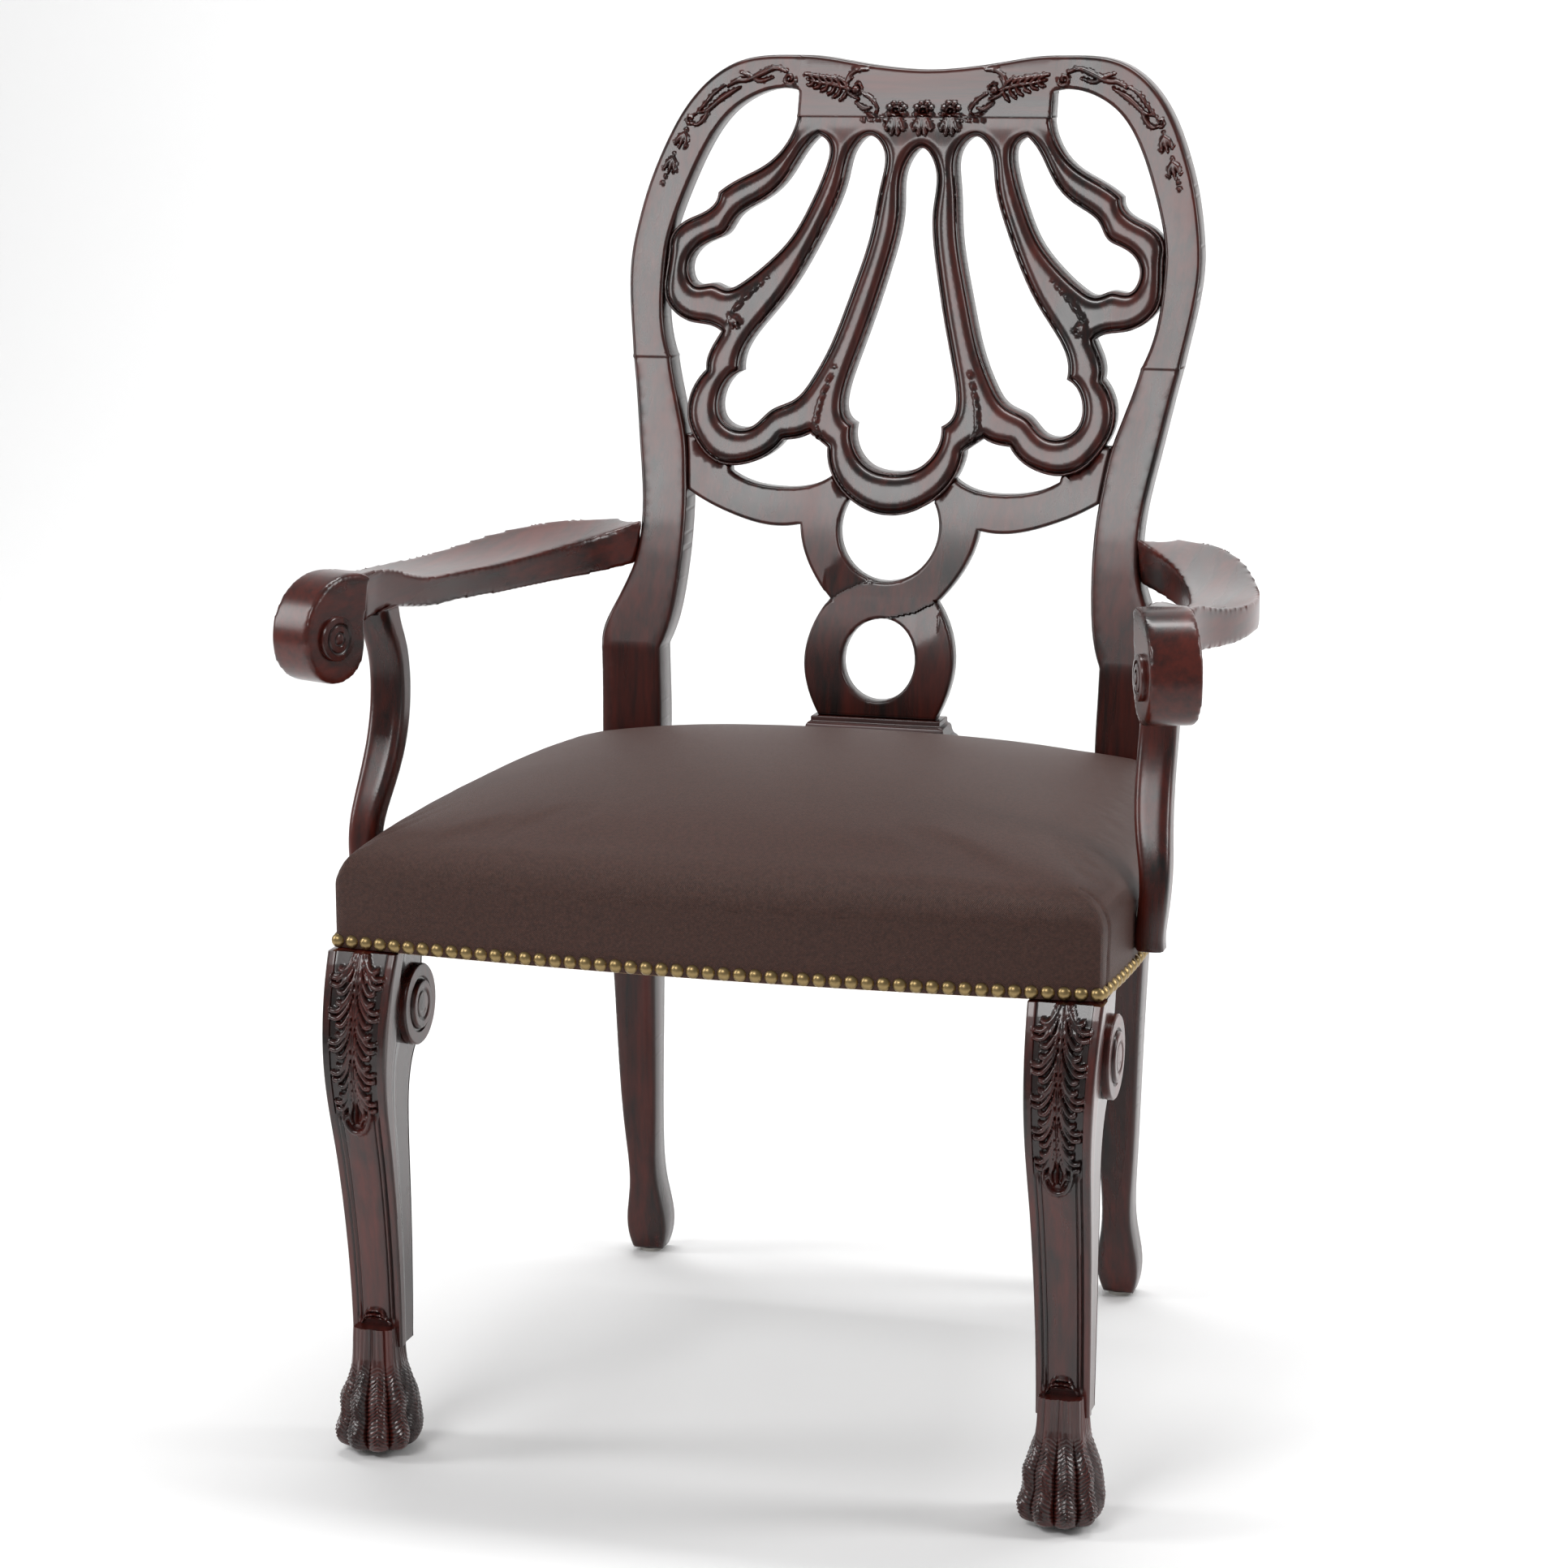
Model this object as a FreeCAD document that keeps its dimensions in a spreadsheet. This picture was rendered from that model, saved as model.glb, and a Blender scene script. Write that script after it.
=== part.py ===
import FreeCAD, Part
import math
import os
import Sketcher
from FreeCAD import Placement, Rotation, Vector

# An upholstered wooden armchair with a carved shell back and paw-footed front legs, in millimetres.
# +X is the viewer's right, -Y is the front and +Z is up. Each shape is drawn with y counted from the
# front feet, and its Placement then centres the chair over the origin on the floor.

os.makedirs("parts", exist_ok=True)
doc = FreeCAD.newDocument("armchair")
sheet = doc.addObject("Spreadsheet::Sheet", "dims")

SIZES = [
    # The seat frame and its plan.
    ("seat_width", "583", "across the cover at its front corners"),
    ("seat_depth", "477", "from the front feet line to the faces of the rear posts"),
    ("seat_back_width", "488", "across the cover where it meets the rear posts"),
    ("corner_setback", "4", "from the front feet line to the cover at its front corners"),
    ("front_bow", "16", "how far the front of the seat bows forward"),
    ("side_bow", "23", "how far each side of the seat bows out"),
    ("rail_top", "446", "height of the top of the seat rails"),
    ("rail_height", "50", "depth of each seat rail"),
    ("rail_thickness", "24", "thickness of each seat rail"),
    ("block_leg", "46", "length of a corner block along each rail"),
    ("block_height", "34", "height of a corner block"),
    # The back.
    ("back_width", "500", "widest across the hooped back"),
    ("back_top", "1048", "height of the crest"),
    ("back_radius", "3850", "radius of the back across its width"),
    ("post_depth", "35", "front to back of a rear post at the seat"),
    ("crest_depth", "24", "front to back of the hoop and crest"),
    ("foot_depth", "35", "front to back of a rear foot"),
    ("splat_setback", "1.5", "from the face of the hoop back to the face of the shell"),
    ("splat_depth", "20", "thickness of the carved shell"),
    ("strap_setback", "5", "from the face of the hoop back to the face of the straps"),
    ("strap_depth", "15", "thickness of the interlaced straps"),
    ("shoe_width", "132", "length of the shoe along its foot"),
    ("shoe_top", "499", "height of the top of the shoe"),
    ("shoe_depth", "36", "front to back of the shoe"),
    ("rear_rail_setback", "10", "from the face of the rear posts back to the rear rail"),
    ("crest_lean", "176.8", "how far the crest's face leans back from the rear posts at the seat"),
    # The front legs.
    ("leg_inset", "24.5", "from the cover's front corner in to the middle of the leg"),
    ("leg_top_half", "27.5", "half the width of the leg under the rail"),
    ("leg_ankle_half", "20", "half the width of the leg at the ankle"),
    ("post_rear", "54", "from the front feet line to the back of the leg's upper block"),
    ("ankle_height", "86", "height of the leg where the paw begins"),
    ("paw_half", "34", "half the width of the paw"),
    ("volute_radius", "31", "radius of the glued volute on the knee"),
    ("volute_thickness", "5", "how far the volute stands off the leg"),
    ("volute_height", "348", "height of the middle of the volute"),
    ("volute_depth", "37", "from the front feet line to the middle of the volute"),
    ("paw_middle", "13", "from the front feet line to the middle of the paw"),
    ("knee_reach", "25.1", "how far the knee stands in front of the front feet line"),
    # The arms.
    ("arm_height", "669", "height of the arm over its scroll"),
    ("arm_overhang", "26", "how far the middle of the arm stands outside the seat corner"),
    ("scroll_radius", "35", "radius of the arm's scrolled end"),
    ("scroll_width", "38", "width of the scrolled end"),
    ("scroll_setback", "67", "from the front feet line to the middle of the scroll"),
    ("scroll_drop", "12.5", "from the arm's height down to a circle of the scroll's radius"),
    ("support_rise", "36", "from the arm's height down to the top of its support"),
    ("support_stands_out", "11.5", "from the cover's front corner out to the middle of a support"),
    ("support_width", "28", "width of an arm support"),
    ("support_depth", "27", "front to back of an arm support at the middle"),
    ("support_seat", "108", "from the front feet line to the middle of the support's foot"),
    ("support_foot", "411", "height of the lower end of an arm support"),
    # The upholstery.
    ("cloth", "1.5", "thickness of the cover"),
    ("pad_edge", "26", "height of the pad's edge above the rails"),
    ("pad_crown", "43", "height of the pad's middle above its edge"),
    ("webbing_width", "50", "width of a webbing strap"),
    ("webbing_thickness", "1.5", "thickness of a webbing strap"),
    ("burlap_thickness", "1", "thickness of the burlap over the webbing"),
    ("dust_cover_thickness", "0.8", "thickness of the cambric under the seat"),
    ("nail_diameter", "10.4", "diameter of a nail's head"),
    ("nail_pitch", "11.86", "spacing of the nails"),
    ("nail_lift", "5.5", "from the bottom of the cover up to the middle of the nails"),
    # The fasteners and glides.
    ("dowel_diameter", "10", "diameter of a beech dowel"),
    ("dowel_length", "40", "length of a beech dowel"),
    ("screw_diameter", "5", "diameter of a wood screw"),
    ("screw_length", "45", "length of a wood screw"),
    ("glide_diameter", "20", "diameter of a floor glide"),
    ("glide_height", "3", "height of a floor glide"),
    ("arm_dowel_diameter", "8", "diameter of a dowel in an arm"),
    ("arm_dowel_length", "45", "length of a dowel in an arm"),
    ("fit", "0.3", "clearance round a piece that isn't glued tight"),
]
FORMULAS = [
    ("rail_bottom", "=rail_top - rail_height"),
    ("deck", "=2 * webbing_thickness + burlap_thickness"),
    ("core_half", "=seat_width / 2 - cloth"),
    ("core_front", "=corner_setback + cloth"),
    ("core_back_half", "=seat_back_width / 2 - cloth"),
    ("front_radius", "=(core_half ^ 2 + front_bow ^ 2) / (2 * front_bow)"),
    ("front_centre", "=core_front - front_bow + front_radius"),
    ("cover_front_radius", "=((core_half + cloth) ^ 2 + front_bow ^ 2) / (2 * front_bow)"),
    ("cover_front_centre", "=core_front - cloth - front_bow + cover_front_radius"),
    ("side_run_x", "=core_back_half - core_half"),
    ("side_run_y", "=seat_depth - core_front"),
    ("side_chord", "=sqrt(side_run_x ^ 2 + side_run_y ^ 2)"),
    ("side_radius", "=(side_chord ^ 2 / 4 + side_bow ^ 2) / (2 * side_bow)"),
    ("side_reach", "=side_radius - side_bow"),
    ("side_centre_x", "=(core_half + core_back_half) / 2 - side_reach * side_run_y / side_chord"),
    ("side_centre_y", "=(core_front + seat_depth) / 2 + side_reach * side_run_x / side_chord"),
    ("leg_centre", "=seat_width / 2 - leg_inset"),
    ("post_inner", "=leg_centre - leg_top_half"),
    ("rear_inner", "=190 * back_width / 500"),
    ("rear_rail_front", "=seat_depth + rear_rail_setback"),
    ("rear_foot_middle", "=seat_depth + 24 + foot_depth / 2"),
    ("depth_middle", "=(seat_depth + crest_lean + crest_depth - knee_reach) / 2"),
]


def fill_sheet():
    """Write the driving sizes, then the sizes worked out from them, each with its alias."""
    for row, (name, value, note) in enumerate(SIZES, 1):
        sheet.set("A%d" % row, note)
        sheet.set("B%d" % row, value)
        sheet.setAlias("B%d" % row, name)
    for row, (name, formula) in enumerate(FORMULAS, len(SIZES) + 1):
        sheet.set("A%d" % row, name.replace("_", " "))
        sheet.set("B%d" % row, formula)
        sheet.setAlias("B%d" % row, name)
    doc.recompute()


def size(name):
    """The present value of one alias."""
    return float(sheet.get(name))


def value(expression):
    """The present value of an expression written in the sheet's aliases."""
    return float(sheet.evalExpression(expression))


fill_sheet()


PIECES = []


def named(piece, label, lift="0"):
    """Give a finished piece its label, and the Placement that centres the chair over the origin."""
    piece.Label = label
    piece.setExpression("Placement.Base.y", "-dims.depth_middle")
    if lift != "0":
        piece.setExpression("Placement.Base.z", lift)
    PIECES.append(piece)
    return piece


def shaped(label, shape):
    """A finished piece whose shape no parametric feature makes as simply."""
    piece = doc.addObject("Part::Feature", label)
    piece.Shape = shape
    return named(piece, label)


def outlined(body, corners, arcs=None):
    """A sketch on a body's level plane: straight edges between corners that the sheet drives.

    arcs gives, for the edge that leaves a corner, its radius and whether it turns left or right.
    """
    arcs = arcs or {}
    sketch = body.newObject("Sketcher::SketchObject", body.Name + "_outline")
    level = next(part for part in body.Origin.OriginFeatures if part.Role == "XY_Plane")
    sketch.AttachmentSupport = (level, [""])
    sketch.MapMode = "FlatFace"
    points = [Vector(value(across), value(along), 0) for across, along in corners]
    begins = []
    ends = []
    for index, start in enumerate(points):
        end = points[(index + 1) % len(points)]
        if index not in arcs:
            edge = sketch.addGeometry(Part.LineSegment(start, end), False)
            begins.append((edge, 1))
            ends.append((edge, 2))
            continue
        radius = value(arcs[index][0])
        left = arcs[index][1] == "left"
        chord = end - start
        normal = Vector(-chord.y, chord.x, 0) / chord.Length
        reach = math.sqrt(radius ** 2 - chord.Length ** 2 / 4)
        centre = (start + end) / 2 + normal * (reach if left else -reach)
        first, last = (start, end) if left else (end, start)
        angles = [math.atan2(point.y - centre.y, point.x - centre.x) for point in (first, last)]
        circle = Part.Circle(centre, Vector(0, 0, 1), radius)
        edge = sketch.addGeometry(Part.ArcOfCircle(circle, angles[0], angles[1]), False)
        begins.append((edge, 1 if left else 2))
        ends.append((edge, 2 if left else 1))
        name = "radius_%d" % index
        sketch.addConstraint(Sketcher.Constraint("Radius", edge, radius))
        sketch.renameConstraint(sketch.ConstraintCount - 1, name)
        sketch.setExpression("Constraints." + name, arcs[index][0])
    for index, (across, along) in enumerate(corners):
        before = ends[index - 1]
        here = begins[index]
        sketch.addConstraint(Sketcher.Constraint("Coincident", before[0], before[1], here[0], here[1]))
        for axis, text, now in (("X", across, points[index].x), ("Y", along, points[index].y)):
            if text == "0":
                line = -2 if axis == "X" else -1
                sketch.addConstraint(Sketcher.Constraint("PointOnObject", here[0], here[1], line))
                continue
            name = "corner_%d_%s" % (index, axis.lower())
            sketch.addConstraint(
                Sketcher.Constraint("Distance" + axis, -1, 1, here[0], here[1], now)
            )
            sketch.renameConstraint(sketch.ConstraintCount - 1, name)
            sketch.setExpression("Constraints." + name, text)
    return sketch


def padded_body(label, corners, thickness, arcs=None):
    """A PartDesign body with one outline padded to a thickness that the sheet drives."""
    body = doc.addObject("PartDesign::Body", label + "_blank")
    sketch = outlined(body, corners, arcs)
    pad = body.newObject("PartDesign::Pad", label + "_pad")
    pad.Profile = sketch
    pad.setExpression("Length", thickness)
    doc.recompute()
    return body


def primitive(kind, label, sizes, place, turn=None):
    """A Part primitive with its sizes and its place bound to the sheet."""
    piece = doc.addObject(kind, label)
    for name, text in sizes.items():
        piece.setExpression(name, text)
    if turn:
        piece.Placement = Placement(Vector(0, 0, 0), Rotation(turn[0], turn[1]))
    for axis, text in zip("xyz", place):
        piece.setExpression("Placement.Base." + axis, text)
    return piece


def cut(label, base, tool):
    piece = doc.addObject("Part::Cut", label + "_cut")
    piece.Base = base
    piece.Tool = tool
    return piece


def group(label, pieces):
    bundle = doc.addObject("Part::Compound", label)
    bundle.Links = pieces
    return bundle


# ---- The rear posts, hoop and splat share one raked and hollowed surface. ----

RAKE = [(0, 36), (50, 25.5), (114, 16), (250, 7), (350, 4), (420, 5), (480, 9), (550, 13), (600, 28),
        (657, 46), (720, 69.5), (800, 99), (900, 134), (980, 158), (1060, 181)]


DRAWN_BACK_WIDTH = 500


def across_back(drawn):
    """A drawn distance from the middle of the back, at the back's present width."""
    return drawn * size("back_width") / DRAWN_BACK_WIDTH


def back_anchors():
    """Drawn heights on the back, each with the height it has at the present sizes."""
    return [(0, 0), (446, size("rail_top")), (499, size("shoe_top")), (1048, size("back_top"))]


def up_back(drawn):
    """A drawn height on the back, stretched between the floor, the rails, the shoe and the crest."""
    anchors = back_anchors()
    for (low, foot), (high, top) in zip(anchors, anchors[1:]):
        if drawn <= high or high == anchors[-1][0]:
            return foot + (drawn - low) * (top - foot) / (high - low)


def drawn_at(height):
    """The drawn height on the back that stands at a height now."""
    anchors = back_anchors()
    for (low, foot), (high, top) in zip(anchors, anchors[1:]):
        if height <= top or high == anchors[-1][0]:
            return low + (height - foot) * (high - low) / (top - foot)


def rake_at(drawn):
    """How far back the middle of the back's face stands at a drawn height."""
    for (low, near), (high, far) in zip(RAKE, RAKE[1:]):
        if drawn <= high:
            return size("seat_depth") + near + (far - near) * (drawn - low) / (high - low)
    return size("seat_depth") + RAKE[-1][1]


def smooth(points):
    curve = Part.BSplineCurve()
    curve.interpolate(points)
    return curve.toShape()


def edges_through(stretches, turn):
    """Edges along a list of stretches: two points make a line and more make a smooth curve."""
    edges = []
    for stretch in stretches:
        points = [turn(first, second) for first, second in stretch]
        edges.append(Part.makeLine(*points) if len(points) == 2 else smooth(points))
    return edges


def back_profile(low, high, setback, depth, crease=None):
    """The section of the back at its middle, between two drawn heights.

    depth gives the thickness at a drawn height, and crease is the height of a sharp bend.
    """
    heights = [low] + [height for height, _ in RAKE if low < height < high] + [high]
    cuts = [0] + ([heights.index(crease)] if crease else []) + [len(heights) - 1]
    edges = []
    for start, stop in zip(cuts, cuts[1:]):
        front = [Vector(0, rake_at(h) + setback, up_back(h)) for h in heights[start:stop + 1]]
        rear = [Vector(0, rake_at(h) + setback + depth(h), up_back(h)) for h in heights[start:stop + 1]]
        edges.append(smooth(front) if len(front) > 2 else Part.makeLine(*front))
        edges.append(smooth(rear) if len(rear) > 2 else Part.makeLine(*rear))
    for height in (low, high):
        near = Vector(0, rake_at(height) + setback, up_back(height))
        edges.append(Part.makeLine(near, near + Vector(0, depth(height), 0)))
    return Part.Face(Part.Wire(Part.__sortEdges__(edges)))


def back_slab(low, high, setback, depth):
    """The hollowed space between the back's face and its rear, between two drawn heights."""
    face = back_profile(low, high, setback, depth)
    pivot = Vector(0, rake_at(550) - size("back_radius"), 0)
    half_turn = math.degrees(across_back(290) / size("back_radius"))
    face.rotate(pivot, Vector(0, 0, 1), half_turn)
    return face.revolve(pivot, Vector(0, 0, 1), -2 * half_turn)


def post_slab():
    """The flat space a rear post is sawn from, square to the hollow of the back where the post stands."""
    face = back_profile(3, HOOP_JOINT, 0, post_thickness, crease=550)
    middle = across_back(222)
    slope = middle / size("back_radius")
    face.translate(Vector(middle * 2, -slope * middle * 1.5, 0))
    return face.extrude(Vector(-2 * middle, 2 * slope * middle, 0))


def sawn(stretches, slab, openings=()):
    """An outline drawn in elevation, with any openings, sawn out of a slab of the back."""
    wires = []
    for loop in (stretches,) + tuple(openings):
        edges = edges_through(loop, lambda x, z: Vector(across_back(x), -200, up_back(z)))
        wires.append(Part.Wire(Part.__sortEdges__(edges)))
    face = Part.makeFace(wires, "Part::FaceMakerBullseye")
    return face.extrude(Vector(0, size("seat_depth") + 900, 0)).common(slab)


def opposite(stretches):
    """The same stretches on the other side of the middle."""
    return [[(-x, z) for x, z in stretch] for stretch in stretches]


def mirrored(shape):
    return shape.mirror(Vector(0, 0, 0), Vector(1, 0, 0))


def post_thickness(drawn):
    """A rear post is deepest at the seat, thins down the leg, and thins again up to the crest."""
    if drawn <= 36:
        return size("foot_depth") - (36 - drawn) / 3
    if drawn <= 114:
        return size("foot_depth") - 6 * math.sin((drawn - 36) / 78 * math.pi / 2)
    if drawn <= 446:
        return size("foot_depth") - 6 + (size("post_depth") - size("foot_depth") + 6) * (drawn - 114) / 332
    return size("post_depth") + (size("crest_depth") - size("post_depth")) * (drawn - 446) / 602


HOOP_JOINT = 792
CREST_JOINT = 996
CREST_END = 112.6

POST_INNER = [
    [(206, 792), (200, 770), (192, 745), (186, 725), (182, 700), (179, 672), (178, 640), (180, 600),
     (185, 568), (191, 551)],
    [(191, 551), (190, 520), (189, 480), (190.5, 440), (193, 380), (195.5, 250), (199, 114), (199, 62),
     (195, 34), (200, 3)],
]
POST_OUTER = [
    [(226, 3), (230, 34), (226, 62), (227, 114), (232.5, 250), (238.5, 380), (241, 460), (242, 520),
     (243, 553)],
    [(243, 553), (241, 571), (234, 587), (226, 605), (220, 622)],
    [(220, 622), (217, 655), (219, 680), (226, 720), (235, 770), (239.5, 792)],
]
HOOP_INNER = [
    [(112.6, 1018), (130, 1019.5), (150, 1014), (170, 1001), (190, 973), (205, 937), (214, 909),
     (218, 890), (219, 860), (217, 830), (206, 792)],
]
HOOP_OUTER = [
    [(239.5, 792), (246, 830), (250, 880), (247, 905), (240, 938), (230, 968), (210, 1008), (190, 1030),
     (170, 1042), (150, 1047), (120, 1048), (112.6, 1047.9)],
]
CREST_TOP = [
    [(112.6, 1047.9), (100, 1047.5), (75, 1044), (50, 1040), (20, 1036.8), (0, 1036), (-20, 1036.8),
     (-50, 1040), (-75, 1044), (-100, 1047.5), (-112.6, 1047.9)],
]

# Each scalloped half of the shell, from the crest joint round both outer lobes to the middle.
SHELL_EDGE = [
    [(112.6, 996), (118, 978), (135, 957), (160, 943), (178, 931)],
    [(178, 931), (181, 921), (190, 914), (205, 907), (214, 899), (218, 886)],
    [(218, 886), (218.6, 862), (216, 840), (208, 830), (190, 821), (175, 819), (164, 814)],
    [(164, 814), (170, 803), (174, 792), (174, 782)],
    [(174, 782), (181, 773), (187, 755), (185, 738), (176, 722), (163, 709), (145, 703), (128, 705),
     (112, 712), (99, 725)],
    [(99, 725), (90, 726), (82, 728), (76, 731)],
    [(76, 731), (70, 727), (60, 720)],
]
SHELL_FOOT = [
    [(60, 720), (55, 700), (46, 687), (30, 674.5), (15, 668), (0, 666), (-15, 668), (-30, 674.5),
     (-46, 687), (-55, 700), (-60, 720)],
]
# The three kinds of opening between its ribs: outer, middle and centre.
OUTER_OPENING = [
    [(92, 980), (83, 973), (84, 952), (95, 922), (110, 893), (130, 871), (150, 855), (163, 850),
     (175, 854), (190, 853), (198, 866), (194, 880), (180, 890), (168, 896), (160, 909), (140, 923),
     (120, 940), (105, 965), (92, 980)],
]
MIDDLE_OPENING = [
    [(143, 781), (142, 797), (130, 818), (113, 840), (95, 870), (80, 902), (66, 943), (58, 972), (47, 980),
     (35, 971), (34, 940), (39, 900), (53, 845), (68, 799), (80, 775), (93, 759), (113, 749.5), (128, 736),
     (142, 734), (155, 742), (158, 762), (143, 781)],
]
CENTRE_OPENING = [
    [(38, 740), (47, 748), (48, 768), (42, 792), (31, 830), (21, 870), (14, 920), (11.5, 958), (0, 970),
     (-11.5, 958), (-14, 920), (-21, 870), (-31, 830), (-42, 792), (-48, 768), (-47, 748), (-38, 740)],
    [(-38, 740), (-35, 720), (-22, 706), (0, 701), (22, 706), (35, 720), (38, 740)],
]

# The interlaced straps, whose upper ends are lapped behind the shell's lobes.
STRAP_SIDE = [
    [(54, 697), (70, 689), (100, 686), (125, 689.5), (144, 698)],
    [(144, 698), (150, 712), (166, 724), (186, 728)],
    [(186, 728), (184, 710), (181.2, 690), (180, 682)],
    [(180, 682), (160, 671), (140, 663), (110, 655), (78, 656)],
    [(78, 656), (74, 638), (66, 621), (47, 596)],
    [(47, 596), (61, 570), (65, 545), (61, 522), (51, 499)],
]
STRAP_TUCK = [[(54, 697), (46, 706)], [(46, 706), (28, 694)], [(28, 694), (31, 684)]]
RING_HEIGHT = 655
RING_RADIUS = 43.5
LOWER_RING = (547, 31.5, 34)


def make_back():
    """The two posts, the hoop's shoulders, the crest rail, and the shell and straps between them."""
    hoop_slab = back_slab(700, 1060, 0, post_thickness)
    shell_slab = back_slab(640, 1060, size("splat_setback"), lambda height: size("splat_depth"))
    strap_slab = back_slab(480, 800, size("strap_setback"), lambda height: size("strap_depth"))
    sole = [[(200, 3), (226, 3)]]
    joint = [[(239.5, 792), (206, 792)]]
    post = sawn(POST_INNER + sole + POST_OUTER + joint, post_slab())
    ends = [[(112.6, 1047.9), (112.6, 1018)]]
    hoop = sawn(HOOP_INNER + [[(206, 792), (239.5, 792)]] + HOOP_OUTER + ends, hoop_slab)
    joint = [[(CREST_END, 1018), (CREST_END, CREST_JOINT)]]
    foot = [[(-CREST_END, CREST_JOINT), (CREST_END, CREST_JOINT)]]
    crest = sawn(CREST_TOP + ends + joint + opposite(ends + joint) + foot, hoop_slab)
    openings = [OUTER_OPENING, opposite(OUTER_OPENING), MIDDLE_OPENING, opposite(MIDDLE_OPENING),
                CENTRE_OPENING]
    shell = sawn(SHELL_EDGE + SHELL_FOOT + opposite(SHELL_EDGE) + foot, shell_slab, openings)
    shell = shell.cut(hoop).cut(mirrored(hoop))
    straps = make_straps(strap_slab, post)
    lap_slab = back_slab(640, 1060, size("splat_setback"), lambda height: size("splat_depth") * 0.45)
    straps = straps.cut(shell.common(lap_slab))
    return post, hoop, crest, shell.cut(straps), straps


def make_straps(slab, post):
    """Two ribbons that cross between two rings, with a tongue at the foot for the shoe."""
    top = up_back(RING_HEIGHT)
    half = sawn(
        STRAP_SIDE + STRAP_TUCK + [[(31, 684), (0, 684)], [(0, 684), (0, 499)], [(0, 499), (51, 499)]], slab
    )
    straps = half.fuse(mirrored(half))
    eye = Part.makeCylinder(across_back(RING_RADIUS), 900, Vector(0, 0, top), Vector(0, 1, 0))
    height, across, up = LOWER_RING
    loop = Part.makeCylinder(across_back(across), 900, Vector(0, 0, 0), Vector(0, 1, 0))
    stretch = FreeCAD.Matrix()
    stretch.scale(1, 1, up / across)
    loop = loop.transformGeometry(stretch)
    loop.translate(Vector(0, 0, up_back(height)))
    return straps.cut(eye).cut(loop).cut(post).cut(mirrored(post)).removeSplitter()


# ---- The front legs: a shaped leg under a square block, a knee with volutes, and a paw. ----

LEG_HALF = [(396, 1.0), (355, 0.945), (318, 0.9), (280, 0.85), (240, 0.81), (200, 0.78), (120, 0.735),
            (86, 0.727)]
LEG_FRONT = [(396, -3), (375, -13), (350, -21), (322, -25), (286, -22), (245, -11.5), (204, -2.5),
             (163, 4), (123, 8), (86, 9.5)]
LEG_REAR = [(86, 36), (147, 37), (207, 34), (260, 30), (300, 34), (322, 52)]
# The paw's outline at rising heights: share of its half width, front and rear.
PAW_RINGS = [(3, 0.86, -12, 38), (12, 0.97, -17, 41), (30, 1.0, -18, 42), (48, 0.9, -10, 41),
             (66, 0.74, 1, 39), (86, 0.62, 7, 37)]


# Where the volutes sit, the leg's half width is this share of its half width under the rail.
KNEE_SHARE = 0.93


def up_leg(drawn):
    """A drawn height on the front legs, at the rail's present height."""
    return drawn * size("rail_bottom") / 396


def rounded_ring(half, front, rear, height, centre, corner):
    """A rounded rectangle lying flat at one height."""
    radius = min(corner, half * 0.9, (rear - front) * 0.45)
    box = Part.makePlane(2 * half, rear - front, Vector(centre - half, front, height))
    solid = box.extrude(Vector(0, 0, 1))
    upright = [edge for edge in solid.Edges if abs(edge.tangentAt(edge.FirstParameter).z) > 0.9]
    solid = solid.makeFillet(radius, upright)
    return min(solid.Faces, key=lambda face: face.CenterOfMass.z).OuterWire


def make_core(height, grow=0):
    """The space inside the cover, up to a height: bowed at the front and along both sides."""
    half = size("core_half") + grow
    front = size("core_front") - grow
    back_half = size("core_back_half") + grow
    rear = size("rear_rail_front") + size("rail_thickness") + grow
    along = size("seat_depth")
    centre = Vector(size("side_centre_x"), size("side_centre_y"), 0)
    chord_middle = Vector((half + back_half) / 2, (front + along) / 2, 0)
    side = centre + (chord_middle - centre).normalize() * (size("side_radius") + grow)
    edges = [
        Part.Arc(Vector(-half, front, 0), Vector(0, front - size("front_bow"), 0), Vector(half, front, 0)),
        Part.Arc(Vector(half, front, 0), side, Vector(back_half, along, 0)),
        Part.LineSegment(Vector(back_half, along, 0), Vector(back_half, rear, 0)),
        Part.LineSegment(Vector(back_half, rear, 0), Vector(-back_half, rear, 0)),
        Part.LineSegment(Vector(-back_half, rear, 0), Vector(-back_half, along, 0)),
        Part.Arc(Vector(-back_half, along, 0), Vector(-side.x, side.y, 0), Vector(-half, front, 0)),
    ]
    face = Part.Face(Part.Wire([edge.toShape() for edge in edges]))
    face.translate(Vector(0, 0, size("rail_bottom")))
    return face.extrude(Vector(0, 0, height))


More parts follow.
